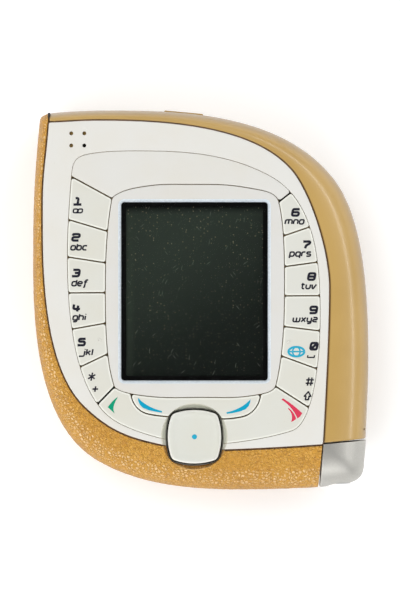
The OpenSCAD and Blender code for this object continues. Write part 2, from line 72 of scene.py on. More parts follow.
WELL_RISE = [(0, 0), (0.15, 0.1), (0.45, 0.24), (0.65, 0.38), (0.76, 0.56), (0.88, 0.88)]
VIEW = np.array([-1.5, 2.0])
VIEW_W, VIEW_H = 33.7, 41.0
CAP_CORNER = np.array([28.15, -33.15])
LIP_W = 0.68
WEB_TOP = 17.45
# the top faces of the keys and the band rise by CROWN over REACH from their edges
CROWN, REACH, SHOULDER = 0.06, 1.0, 0.22

# Outlines: each stop is x, y, heading in degrees, handle in and handle out, run anticlockwise.
LEFT_EDGE = [(-35.2, 43.0, 195, 0, 0.9), (-37.2, 41.4, 264, 1, 10), (-38.75, 13, 270, 10, 12),
             (-24.5, -36.7, 328, 18, 12), (9, -43.75, 360, 10, 6), (27, -43.2, 364, 6, 0)]
CAP_EDGE = [(27.3, -43.15, 364, 0, 1.5), (31.6, -42.65, 367, 1.5, 3.6),
            (37.6, -38.2, 446, 3.4, 2), (38.1, -32.2, 447, 2, 0)]
RIGHT_EDGE = [(38, -31.9, 448, 0, 6), (38.65, -13.6, 450, 6, 16.5), (30.6, 28, 488, 11, 20),
              (-21.5, 43.75, 540, 15, 5), (-34.8, 43.1, 546, 4, 0)]
LEFT_SEAM = [(-35.1, 40.8, 266, 0, 8.5), (-36.5, 22.5, 270, 7, 12), (-26.6, -24.8, 317, 14.5, 7.6),
             (-9.3, -33.3, 348, 8, 8), (5.3, -34.5, 362, 8, 8), (27.9, -33.3, 364, 8, 0)]
RIGHT_SEAM = [(28.2, -32.8, 447, 0, 9), (29.6, 2.8, 450, 11, 9), (21.1, 29.7, 490, 6, 13.5),
              (-23.2, 41.4, 540, 15.5, 5), (-34.8, 40.95, 542, 5, 0)]
RING_OUT = [(-29.8, 28.3, 266, 2.5, 5), (-30.7, 9.6, 270, 8, 12), (-19.4, -28, 330, 11.5, 4),
            (3.2, -33.1, 362, 10, 5), (21, -30, 379, 5, 5), (27.4, -4, 450, 10, 10.5),
            (16.1, 28.4, 511, 12.5, 12), (-15.3, 34.3, 540, 9.5, 6), (-26.6, 33.4, 553, 2.5, 2.8),
            (-29.8, 28.3, 626, 2.5, 0)]
RING_IN = [(-20.45, 23, 260, 1.2, 6.7), (-21.9, 2.8, 270, 7, 6), (-19.9, -19.7, 288, 6.8, 1.3),
           (-14.1, -21.8, 352, 1.7, 6), (0, -22.3, 360, 5, 6), (13.5, -21.6, 370, 5.8, 2),
           (17.1, -19.6, 434, 1.2, 5), (19.1, 0.2, 450, 6.5, 5.6), (17.8, 22.5, 464, 6.5, 2.2),
           (11.5, 25.6, 530, 3.3, 6), (-2, 26.5, 540, 5, 6), (-15, 25.7, 550, 6, 2.5),
           (-20.45, 23, 620, 1.2, 0)]
BAR_EDGE = [(-16.1, -21.2, 268, 0, 1.5), (-12.4, -26.1, 345, 2.8, 1.5), (-7, -26.85, 355, 2, 4),
            (5, -27.3, 360, 4, 1.5), (9.5, -26.8, 372, 1.5, 2.2), (13.7, -21.2, 450, 3, 0)]
# Height of each seam between keys: at x = -30 and -21 on the left, at x = 27 and 18 on the right.
LEFT_RUNGS = [(28.5, 23.6), (18.35, 15.65), (9.8, 8.4), (1.65, 1.7), (-6.75, -5.15),
              (-16.45, -12.15), (-30.35, -21.1)]
RIGHT_RUNGS = [(29.65, 22.7), (17.5, 14.4), (8.75, 7.5), (1, 0.95), (-7.05, -5.95),
               (-15.95, -12.65), (-26.1, -20.35)]


# ---------------------------------------------------------------- plane curves
def curve(stops, step=0.35, inward=0.0):
    """Points about step apart along a chain of cubic arcs, moved inwards by inward."""
    points = []
    shifted = [(x - inward * math.sin(math.radians(h)), y + inward * math.cos(math.radians(h)), h, a, b)
               for x, y, h, a, b in stops]
    for a, b in zip(shifted[:-1], shifted[1:]):
        p, q = np.array(a[:2]), np.array(b[:2])
        ha, hb = math.radians(a[2]), math.radians(b[2])
        c = p + a[4] * np.array([math.cos(ha), math.sin(ha)])
        d = q - b[3] * np.array([math.cos(hb), math.sin(hb)])
        n = max(3, round(np.linalg.norm(q - p) / step))
        t = np.linspace(0, 1, n, endpoint=False)[:, None]
        s = 1 - t
        points.append(s**3 * p + 3 * s**2 * t * c + 3 * s * t**2 * d + t**3 * q)
    points.append(np.array([shifted[-1][:2]]))
    return np.vstack(points)


def circle(centre, r, n):
    """n points anticlockwise round a circle."""
    a = np.linspace(0, 2 * math.pi, n, endpoint=False)
    return np.array(centre) + r * np.c_[np.cos(a), np.sin(a)]


def meeting(p, q, near):
    """Where polylines p and q cross closest to near, as a position along p and one along q."""
    a, u = p[:-1, None], (p[1:] - p[:-1])[:, None]
    b, v = q[None, :-1], (q[1:] - q[:-1])[None]
    det = u[..., 0] * v[..., 1] - u[..., 1] * v[..., 0]
    det = np.where(np.abs(det) < 1e-12, np.nan, det)
    w = b - a
    s = (w[..., 0] * v[..., 1] - w[..., 1] * v[..., 0]) / det
    t = (w[..., 0] * u[..., 1] - w[..., 1] * u[..., 0]) / det
    hit = (s >= 0) & (s <= 1) & (t >= 0) & (t <= 1)
    i, j = np.nonzero(hit)
    where = p[i] + s[i, j][:, None] * (p[i + 1] - p[i])
    k = np.argmin(np.linalg.norm(where - np.array(near), axis=1))
    return i[k] + s[i[k], j[k]], j[k] + t[i[k], j[k]]


def at(p, x):
    i = min(int(x), len(p) - 2)
    return p[i] + (x - i) * (p[i + 1] - p[i])


def stretch(p, a, b):
    """The part of polyline p from position a to b. On a closed one it may run past the end."""
    if b >= a:
        middle = p[int(math.floor(a)) + 1:int(math.ceil(b))]
        return np.vstack([at(p, a), middle, at(p, b)])
    return np.vstack([stretch(p, a, len(p) - 1 - 1e-9), stretch(p, 0, b)])


def tidy(p, gap=0.02, closed=True):
    """Drops points closer than gap to the one before."""
    keep = [p[0]]
    for v in p[1:]:
        if np.linalg.norm(v - keep[-1]) > gap:
            keep.append(v)
    if closed and np.linalg.norm(keep[-1] - keep[0]) <= gap:
        keep.pop()
    return np.array(keep)


def rounded(p, r, sharp=22, steps=6):
    """Closed outline p with each corner sharper than sharp degrees rounded to radius r."""
    p = tidy(p)
    n = len(p)
    back, ahead = p - np.roll(p, 1, 0), np.roll(p, -1, 0) - p
    turn = np.arctan2(back[:, 0] * ahead[:, 1] - back[:, 1] * ahead[:, 0], (back * ahead).sum(1))
    corners = [i for i in range(n) if abs(turn[i]) > math.radians(sharp)]
    if not corners:
        return even(p)
    loop = np.vstack([np.roll(p, -corners[0], 0), p[corners[0]]])
    marks = [c - corners[0] for c in corners] + [n]
    angles = [turn[c] for c in corners] + [turn[corners[0]]]
    out = []
    for k in range(len(corners)):
        run = loop[marks[k]:marks[k + 1] + 1]
        d = np.r_[0, np.cumsum(np.linalg.norm(np.diff(run, axis=0), axis=1))]
        cut_a = min(r * math.tan(abs(angles[k]) / 2), d[-1] * 0.45)
        cut_b = min(r * math.tan(abs(angles[k + 1]) / 2), d[-1] * 0.45)
        inner = run[(d > cut_a) & (d < d[-1] - cut_b)]
        ends = [np.array([np.interp(x, d, run[:, i]) for i in (0, 1)]) for x in (cut_a, d[-1] - cut_b)]
        out.append((ends[0], inner, ends[1]))
    pieces = []
    for k, (first, inner, end) in enumerate(out):
        pieces.append(np.vstack([first[None], inner, end[None]]))
        corner, nxt = loop[marks[k + 1]], out[(k + 1) % len(out)][0]
        t = np.linspace(0, 1, steps + 1)[1:-1, None]
        # a conic close to a circular arc
        w = math.cos(abs(angles[k + 1]) / 2)
        weight = (1 - t)**2 + 2 * t * (1 - t) * w + t**2
        pieces.append(((1 - t)**2 * end + 2 * t * (1 - t) * w * corner + t**2 * nxt) / weight)
    return even(tidy(np.vstack(pieces), 0.01))


def even(p, step=0.5):
    """Closed outline with its long straight runs divided into steps."""
    out = []
    for a, b in zip(p, np.roll(p, -1, 0)):
        n = max(1, int(np.linalg.norm(b - a) / step))
        out += [a + (b - a) * i / n for i in range(n)]
    return np.array(out)


def normals(p):
    """Left-hand unit normal at each point of a closed outline, with the mitre's stretch."""
    back, ahead = p - np.roll(p, 1, 0), np.roll(p, -1, 0) - p
    back /= np.linalg.norm(back, axis=1)[:, None]
    ahead /= np.linalg.norm(ahead, axis=1)[:, None]
    m = back + ahead
    m /= np.linalg.norm(m, axis=1)[:, None]
    left = np.c_[-m[:, 1], m[:, 0]]
    stretch_by = 1 / np.clip((m * ahead).sum(1), 0.6, 1)
    return left * stretch_by[:, None]


def inset(p, d):
    return p + normals(p) * d


# ---------------------------------------------------------------- shaped parts
def tube_faces(start_a, start_b, n):
    return [(start_a + i, start_a + (i + 1) % n, start_b + (i + 1) % n, start_b + i) for i in range(n)]


def stacked(rings):
    """Vertices and faces of a closed shape: equal rings joined in their order, and both ends capped."""
    n = len(rings[0])
    faces = [f for k in range(len(rings) - 1) for f in tube_faces(k * n, (k + 1) * n, n)]
    faces.append(tuple(range(n - 1, -1, -1)))
    faces.append(tuple(range((len(rings) - 1) * n, len(rings) * n)))
    return np.vstack(rings), faces


def fill(loops, spots=()):
    """Triangles over closed outlines less their holes, through the spots too. Gives points and triangles,
    with the outlines' points first, in their order."""
    points, edges = [], []
    for loop in loops:
        base, n = len(points), len(loop)
        points += [Vector((float(x), float(y))) for x, y in loop]
        edges += [(base + i, base + (i + 1) % n) for i in range(n)]
    n = len(points)
    points += [Vector((float(x), float(y))) for x, y in spots]
    flat, _, triangles, origin, _, _ = delaunay_2d_cdt(points, edges, [], 1, 1e-6)
    middles = np.array([[(flat[a].x + flat[b].x + flat[c].x) / 3, (flat[a].y + flat[b].y + flat[c].y) / 3]
                        for a, b, c in triangles])
    triangles = [t for t, solid in zip(triangles, inside(middles, loops)) if solid]
    named = {}
    extra = []
    for i, had in enumerate(origin):
        outline = [k for k in had if k < n]
        if outline:
            named[i] = outline[0]
        else:
            named[i] = n + len(extra)
            extra.append((flat[i].x, flat[i].y))
    return np.array(extra).reshape(-1, 2), [tuple(named[k] for k in t) for t in triangles]


def inside(points, loops):
    """Whether each point lies within an odd number of the outlines."""
    odd = np.zeros(len(points), bool)
    for loop in loops:
        for (ax, ay), (bx, by) in zip(loop, np.roll(loop, -1, 0)):
            if ay != by:
                crosses = (ay > points[:, 1]) != (by > points[:, 1])
                odd ^= crosses & (points[:, 0] < ax + (bx - ax) * (points[:, 1] - ay) / (by - ay))
    return odd


def far_from(points, loops):
    """Distance of each point from the nearest outline."""
    best = np.full(len(points), 1e9)
    for loop in loops:
        for a, b in zip(loop, np.roll(loop, -1, 0)):
            u = b - a
            t = np.clip(((points - a) @ u) / max(u @ u, 1e-12), 0, 1)
            best = np.minimum(best, np.linalg.norm(points - a - t[:, None] * u, axis=1))
    return best


def crowned(d):
    """How far a crowned face lies below its highest level at d from its edge."""
    return CROWN * (1 - np.clip(d / REACH, 0, 1))**2


def tile(loops, rows, crown=False, grid=0.7):
    """Vertices and faces of a slab. loops: one anticlockwise outline and clockwise holes.
    rows: for each loop, its (inset, height) steps from the lowest edge to the top face."""
    verts, faces = [], []
    low, top = [], []
    for loop, steps in zip(loops, rows):
        n = len(loop)
        base = len(verts)
        for k, (d, z) in enumerate(steps):
            ring = inset(loop, d) if d else loop
            verts += [(x, y, z) for x, y in ring]
            if k:
                faces += tube_faces(base + (k - 1) * n, base + k * n, n)
        low.append((base, np.array(verts[base:base + n])))
        top.append((base + (len(steps) - 1) * n, np.array(verts[-n:])))
    spots = np.zeros((0, 2))
    if crown:
        rings = [ring[:, :2] for _, ring in top]
        (x0, y0), (x1, y1) = rings[0].min(0), rings[0].max(0)
        across, up = np.meshgrid(np.arange(x0, x1, grid), np.arange(y0, y1, grid * 0.87))
        across[::2] += grid / 2
        spots = np.c_[across.ravel(), up.ravel()]
        spots = spots[far_from(spots, rings) > grid * 0.45]
    for is_top, parts in ((False, low), (True, top)):
        index = [start + i for start, ring in parts for i in range(len(ring))]
        rings = [ring[:, :2] for _, ring in parts]
        extra, triangles = fill(rings, spots if is_top else ())
        index += range(len(verts), len(verts) + len(extra))
        if len(extra):
            height = np.full(len(extra), parts[0][1][0, 2])
            if is_top and crown:
                height += crowned(SHOULDER) - crowned(SHOULDER + far_from(extra, rings))
            verts += [(x, y, z) for (x, y), z in zip(extra, height)]
        for t in triangles:
            a, b, c = (index[i] for i in t)
            area = ((verts[b][0] - verts[a][0]) * (verts[c][1] - verts[a][1])
                    - (verts[b][1] - verts[a][1]) * (verts[c][0] - verts[a][0]))
            faces.append((a, b, c) if (area > 0) == is_top else (a, c, b))
    return np.array(verts), faces


def edge(low, top, r, steps=4, crown=False):
    """Rows of a straight side with a round upper edge and the beginning of a crown."""
    brink = top - (CROWN if crown else 0)
    out = [(0.0, low), (0.0, brink - r)]
    for k in range(1, steps + 1):
        a = math.pi / 2 * k / steps
        out.append((r * (1 - math.cos(a)), brink - r + r * math.sin(a)))
    if crown:
        out += [(r + d, top - crowned(d)) for d in (SHOULDER / 2, SHOULDER)]
    return out


def lathe(profile, centre, n=48, axis="z"):
    """Vertices and faces of a turned shape. profile: (radius, height) from one end to the other."""
    a = np.linspace(0, 2 * math.pi, n, endpoint=False)
    verts, faces = stacked([np.c_[r * np.cos(a), r * np.sin(a), np.full(n, h)] for r, h in profile])
    if axis == "-y":
        verts = np.c_[verts[:, 0], -verts[:, 2], verts[:, 1]]
    return verts + np.array(centre), faces


def merge(*parts):
    verts, faces, base = [], [], 0
    for v, f in parts:
        verts.append(np.asarray(v))
        faces += [tuple(i + base for i in face) for face in f]
        base += len(v)
    return np.vstack(verts), faces


def mend(mesh):
    """Drops points that no face uses, closes hairline gaps and turns all faces outwards."""
    bm = bmesh.new()
    bm.from_mesh(mesh)
    bmesh.ops.delete(bm, geom=[v for v in bm.verts if not v.link_faces], context="VERTS")
    for _ in range(2):
        bmesh.ops.holes_fill(bm, edges=[e for e in bm.edges if e.is_boundary], sides=12)
        fins = [f for f in bm.faces if any(e.is_boundary for e in f.edges)
                and any(len(e.link_faces) > 2 for e in f.edges)]
        bmesh.ops.delete(bm, geom=fins, context="FACES")
    bmesh.ops.recalc_face_normals(bm, faces=bm.faces)
    bm.to_mesh(mesh)
    bm.free()
    return mesh


def raw_mesh(verts, faces, **values):
    """A mesh from millimetre vertices and faces, with a named value per vertex where given."""
    mesh = bpy.data.meshes.new("raw")
    mesh.from_pydata([tuple(v) for v in verts], [], [tuple(int(i) for i in f) for f in faces])
    for name, value in values.items():
        mesh.attributes.new(name, "FLOAT", "POINT").data.foreach_set("value", value)
    mesh.validate()
    return mend(mesh)


def carve(mesh, cutters):
    """The mesh less the cutters, all in millimetres."""
    scene = bpy.context.scene.collection
    body = bpy.data.objects.new("carved", mesh)
    scene.objects.link(body)
    tools = []
    for verts, faces in cutters:
        tool = bpy.data.objects.new("tool", raw_mesh(verts, faces))
        scene.objects.link(tool)
        tools.append(tool)
        mod = body.modifiers.new("cut", "BOOLEAN")
        mod.operation = "DIFFERENCE"
        mod.solver = "EXACT"
        mod.object = tool
    graph = bpy.context.evaluated_depsgraph_get()
    out = bpy.data.meshes.new_from_object(body.evaluated_get(graph))
    for o in [body, *tools]:
        bpy.data.objects.remove(o)
    return mend(out)


def show(name, mesh, body, material, slot=None, sharp=40, weighted=True):
    """Puts a millimetre mesh into the scene as a piece that rides on a body."""
    mesh.transform(Matrix.Scale(MM, 4))
    mesh.name = name
    mesh.polygons.foreach_set("use_smooth", [True] * len(mesh.polygons))
    mesh.set_sharp_from_angle(angle=math.radians(sharp))
    mesh.materials.clear()
    mesh.materials.append(MATERIALS[material])
    obj = bpy.data.objects.new(name, mesh)
    bpy.context.scene.collection.objects.link(obj)
    if weighted:
        mod = obj.modifiers.new("weighted", "WEIGHTED_NORMAL")
        mod.keep_sharp = True
        mod.weight = 80
    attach(obj, body)
    return obj


def part(name, shape, material, slot=None, node=None, body="handset", cutters=(), **how):
    """Shows vertices and faces, less the cutters, as a piece that replaces a CAD node where one is named."""
    mesh = raw_mesh(*shape)
    piece = show(name, carve(mesh, cutters) if cutters else mesh, body, material, slot, **how)
    if node:
        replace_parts(piece, node)


def joined(mesh, *shapes):
    """The mesh with more closed shapes put into it."""
    bm = bmesh.new()
    bm.from_mesh(mesh)
    for shape in shapes:
        bm.from_mesh(raw_mesh(*shape))
    bm.to_mesh(mesh)
    bm.free()
    return mesh


# ---------------------------------------------------------------- materials
class Look:
    """A principled material whose patterns run in millimetres of the piece's own space."""

    def __init__(self, name, colour, rough, metal=0.0, **sockets):
        self.material = bpy.data.materials.new(name)
        self.material.use_nodes = True
        self.tree = self.material.node_tree
        self.shader = self.tree.nodes["Principled BSDF"]
        self.put("Base Color", (*colour, 1))
        self.put("Roughness", rough)
        self.put("Metallic", metal)
        for key, value in sockets.items():
            self.put(key.replace("_", " "), value)
        self.mm = self.new("Mapping", Scale=(1 / MM,) * 3)
        self.link(self.new("TexCoord").outputs["Object"], self.mm.inputs["Vector"])
        self.colour = colour
        self.paint = None
        self.relief = None

    def put(self, socket, value):
        self.shader.inputs[socket].default_value = value

    def new(self, kind, **sockets):
        """A node of this kind with the values of its sockets."""
        node = self.tree.nodes.new("ShaderNode" + kind)
        for key, value in sockets.items():
            node.inputs[key.replace("_", " ")].default_value = value
        return node

    def patches(self, scale, detail, rough, low, high, strength, rgb):
        """Tints with a display colour where the noise lies above low, fully above high."""
        self.tint(self.ramp(self.noise(scale, detail, rough), low, high, 0, strength), lin(*rgb))

    def link(self, a, b):
        self.tree.links.new(a, b)

    def noise(self, scale, detail=3.0, rough=0.55, squash=None, turn=0.0):
        node = self.new("TexNoise", Scale=scale, Detail=detail, Roughness=rough)
        vector = self.mm.outputs[0]
        if squash:
            m = self.new("Mapping", Rotation=(0, 0, math.radians(turn)), Scale=squash)
            self.link(vector, m.inputs["Vector"])
            vector = m.outputs[0]
        self.link(vector, node.inputs["Vector"])
        return node.outputs["Fac"]

    def cells(self, scale, feature="F1", vector=None):
        node = self.new("TexVoronoi", Scale=scale)
        node.feature = feature
        self.link(vector or self.mm.outputs[0], node.inputs["Vector"])
        return node.outputs["Distance"]

    def warped(self, scale, amount):
        """The piece's own space pushed about by noise, amount in millimetres."""
        last = self.noise(scale, 2).node.outputs["Color"]
        for kind, value in (("SUBTRACT", (0.5,) * 3), ("MULTIPLY", (amount,) * 3), ("ADD", None)):
            node = self.new("VectorMath")
            node.operation = kind
            self.link(last, node.inputs[0])
            if value:
                node.inputs[1].default_value = value
            else:
                self.link(self.mm.outputs[0], node.inputs[1])
            last = node.outputs[0]
        return last

    def well(self):
        """Masks for painted light: 1 on the dished slope round the navigation key, for a painted shade, and 1
        on that slope's rounded outer rim, for a painted highlight.
        """
        x, y, _ = self.place()
        squares = []
        for value, middle in ((x, NAV[0]), (y, NAV[1])):
            d = self.math("SUBTRACT", value, float(middle))
            squares.append(self.math("MULTIPLY", d, d))
        away = self.math("SQRT", self.math("ADD", *squares), 0.0)
        sloped = self.ramp(self.upward(), 0.93, 0.98, 1, 0)
        slope = self.math("MULTIPLY", self.ramp(away, WELL_R - 0.42, WELL_R - 0.3, 1, 0), sloped)
        rim_highlight = self.math("MULTIPLY", self.ramp(away, WELL_R - 0.4, WELL_R - 0.3),
                          self.ramp(away, WELL_R, WELL_R + 0.1, 1, 0))
        return slope, self.math("MULTIPLY", rim_highlight, sloped)

    def flecks(self, scale, size, rare, squash=(1, 1, 1), turn=0.0):
        """Scattered dots, or short strokes where squash is uneven: 1 on a fleck.
        rare is the share of cells left out."""
        m = self.new("Mapping")
        m.vector_type = "TEXTURE"
        m.inputs["Rotation"].default_value = (0, 0, math.radians(turn))
        m.inputs["Scale"].default_value = [1 / s for s in squash]
        self.link(self.mm.outputs[0], m.inputs["Vector"])
        node = self.new("TexVoronoi", Scale=scale)
        node.voronoi_dimensions = "2D"
        self.link(m.outputs[0], node.inputs["Vector"])
        hue = self.new("SeparateColor")
        self.link(node.outputs["Color"], hue.inputs["Color"])
        chosen = self.ramp(hue.outputs["Red"], rare, rare + 0.04)
        return self.math("MULTIPLY", chosen, self.ramp(node.outputs["Distance"], size * 0.4, size, 1, 0))

    def ramp(self, value, low, high, a=0.0, b=1.0):
        """value mapped from low..high to a..b and held at the ends."""
        node = self.new("MapRange", From_Min=low, From_Max=high, To_Min=a, To_Max=b)
        node.interpolation_type = "SMOOTHSTEP"
        self.link(value, node.inputs["Value"])
        return node.outputs["Result"]

    def math(self, kind, a, b):
        node = self.new("Math")
        node.operation = kind
        for i, v in enumerate((a, b)):
            if isinstance(v, (int, float)):
                node.inputs[i].default_value = v
            else:
                self.link(v, node.inputs[i])
        return node.outputs[0]

    def place(self):
        """The piece's own x, y and z in millimetres."""
        node = self.new("SeparateXYZ")
        self.link(self.mm.outputs[0], node.inputs[0])
        return node.outputs

    def upward(self):
        """How far the surface faces up, 0 to 1."""
        node = self.new("SeparateXYZ")
        self.link(self.new("NewGeometry").outputs["Normal"], node.inputs[0])
        return node.outputs[2]

    def attribute(self, name):
        node = self.new("Attribute")
        node.attribute_name = name
        return node.outputs["Fac"]

    def tint(self, fac, colour):
        """Paints colour over what is there, by fac."""
        node = self.new("Mix")
        node.data_type = "RGBA"
        self.link(fac, node.inputs["Factor"])
        if self.paint is None:
            node.inputs["A"].default_value = (*self.colour, 1)
        else:
            self.link(self.paint, node.inputs["A"])
        node.inputs["B"].default_value = (*colour, 1)
        self.paint = node.outputs["Result"]
        self.link(self.paint, self.shader.inputs["Base Color"])

    def rough(self, value, a, b, low=0.3, high=0.7):
        self.link(self.ramp(value, low, high, a, b), self.shader.inputs["Roughness"])

    def bump(self, value, depth):
        """Lifts the surface by value, depth in millimetres."""
        node = self.new("Bump", Distance=depth * MM)
        self.link(value, node.inputs["Height"])
        if self.relief is not None:
            self.link(self.relief, node.inputs["Normal"])
        self.relief = node.outputs["Normal"]
        self.link(self.relief, self.shader.inputs["Normal"])


def lin(r, g, b):
    """Linear colour of an 8-bit display colour."""
    shares = (r / 255, g / 255, b / 255)
    return tuple(c / 12.92 if c <= 0.04045 else ((c + 0.055) / 1.055)**2.4 for c in shares)


def moulded(name, rgb, rough=0.42, warm=0.03, bright=None, well=False):
    """Aged glossy plastic with faint yellowing, orange peel and hairline marks.
    bright: the height below which its rounded edges get a painted highlight."""
    r, g, b = lin(*rgb)
    look = Look(name, (r, g, b), rough, Specular_IOR_Level=0.45, Coat_Weight=0.15, Coat_Roughness=0.25)
    look.tint(look.ramp(look.noise(0.07, 4), 0.35, 0.75),
              (r * (1 - warm * 0.4), g * (1 - warm), b * (1 - warm * 2.2)))
    look.tint(look.ramp(look.noise(2.3, 2, 0.6), 0.735, 0.78, 0, 0.4), (r * 0.75, g * 0.7, b * 0.6))
    if bright:
        # painted highlight: rounded edges below that height are lightened as if catching the light
        z, facing = look.place()[2], look.upward()
        painted_edge_highlight = look.math("MULTIPLY", look.ramp(z, bright, bright + 0.018, 1, 0),
                               look.ramp(facing, 0.1, 0.5))
        look.tint(painted_edge_highlight, (r * 1.16, g * 1.16, b * 1.15))
    if well:
        # painted shade on the dished slope round the navigation key, and a painted highlight on its rounded
        # rim
        slope, rim_highlight = look.well()
        look.tint(slope, (r * 0.9, g * 0.91, b * 0.85))
        look.tint(rim_highlight, (r * 1.14, g * 1.12, b * 1.06))
    look.rough(look.noise(0.5, 5, 0.7, squash=(1, 6, 1), turn=25), rough - 0.06, rough + 0.1)
    look.bump(look.noise(1.2, 3), 0.004)
    look.bump(look.noise(9, 2), 0.0012)
    return look


# Looks made of noise alone: name, display colour, roughness, metal and other sockets. Then the patches that
# tint them, as in Look.patches; the noise and the two ends of the roughness; and the noises that lift them,
# each with its squash and its depth in millimetres.
NOISE_LOOKS = {
    "lip": ("display_lip", (222, 230, 236), 0.3, 0, {"Coat_Weight": 0.3, "Coat_Roughness": 0.15},
            [(0.3, 4, 0.55, 0.35, 0.7, 1, (214, 224, 232))], (2, 3, 0.55, None, 0, 0.2, 0.34), []),
    "silver": ("silver_satin_paint", (178, 176, 170), 0.5, 0.85, {},
               [(9, 3, 0.75, 0.4, 0.7, 0.6, (206, 205, 200)),
                (1.1, 3, 0.6, 0.68, 0.78, 0.4, (150, 150, 152))],
               (1.5, 5, 0.7, (5, 1, 1), 15, 0.46, 0.58), [(8, 3, 0.7, None, 0.012)]),
    "steel": ("stamped_steel", (190, 190, 190), 0.32, 1, {}, [(0.6, 4, 0.55, 0.4, 0.7, 0.5, (160, 160, 162))],
              (1, 5, 0.6, (0.4, 14, 1), 0, 0.25, 0.42), [(1.2, 4, 0.6, (0.3, 18, 1), 0.004)]),
    "border": ("black_mask", (12, 11, 11), 0.45, 0, {"Specular_IOR_Level": 0.15},
               [(3.5, 2, 0.55, 0.7, 0.76, 0.25, (70, 70, 66))], (3, 3, 0.55, None, 0, 0.35, 0.5), []),
    "back": ("grey_back_shell", (204, 203, 198), 0.5, 0, {"Specular_IOR_Level": 0.4},
             [(0.08, 4, 0.55, 0.35, 0.7, 1, (194, 192, 184)),
              (1.3, 3, 0.65, 0.68, 0.76, 0.45, (150, 146, 136))],
             (0.7, 5, 0.7, (1, 5, 1), 12, 0.44, 0.6), [(5, 3, 0.7, None, 0.012)]),
    "dark": ("dark_moulding", (42, 42, 45), 0.5, 0, {}, [(0.5, 4, 0.55, 0.4, 0.7, 1, (54, 53, 54))],
             (2, 4, 0.55, None, 0, 0.4, 0.6), [(6, 3, 0.55, None, 0.008)]),
    "label": ("battery_wrap", (60, 66, 78), 0.45, 0, {},
              [(0.2, 4, 0.55, 0.4, 0.7, 1, (72, 78, 90)), (2, 3, 0.7, 0.68, 0.75, 0.5, (128, 130, 134))],
              None, [(1, 4, 0.55, None, 0.02)]),
    "card": ("card_body", (222, 218, 200), 0.35, 0, {}, [(0.5, 3, 0.55, 0.4, 0.7, 1, (212, 206, 184))],
             None, [(4, 2, 0.55, None, 0.004)]),
    "silicone": ("key_mat_silicone", (70, 64, 54), 0.6, 0, {"Subsurface_Weight": 0.05},
                 [(0.6, 4, 0.55, 0.4, 0.7, 1, (86, 76, 60))], None, [(5, 3, 0.55, None, 0.01)]),
    "casting": ("cast_magnesium", (150, 151, 154), 0.48, 0.8, {},
                [(1.5, 5, 0.7, 0.4, 0.7, 1, (128, 129, 132))], None, [(4, 4, 0.7, None, 0.03)]),
    "web": ("seam_rubber", (128, 106, 66), 0.6, 0, {}, [(0.25, 4, 0.55, 0.35, 0.7, 1, (104, 84, 48))],
            None, [(5, 3, 0.55, None, 0.01)]),
    # colour of the strip in the seam round the plate: painted shade
    "seam_shade_fill": ("painted_seam_shade", (118, 80, 44), 0.6, 0, {}, [(0.3, 4, 0.55, 0.35, 0.7, 1, (84, 58, 34))],
               None, [(5, 3, 0.55, None, 0.01)]),
    "groove": ("groove_tan_fill", (166, 138, 98), 0.6, 0, {}, [(0.2, 4, 0.55, 0.35, 0.7, 1, (134, 110, 72))],
               None, [(5, 3, 0.55, None, 0.01)]),
}


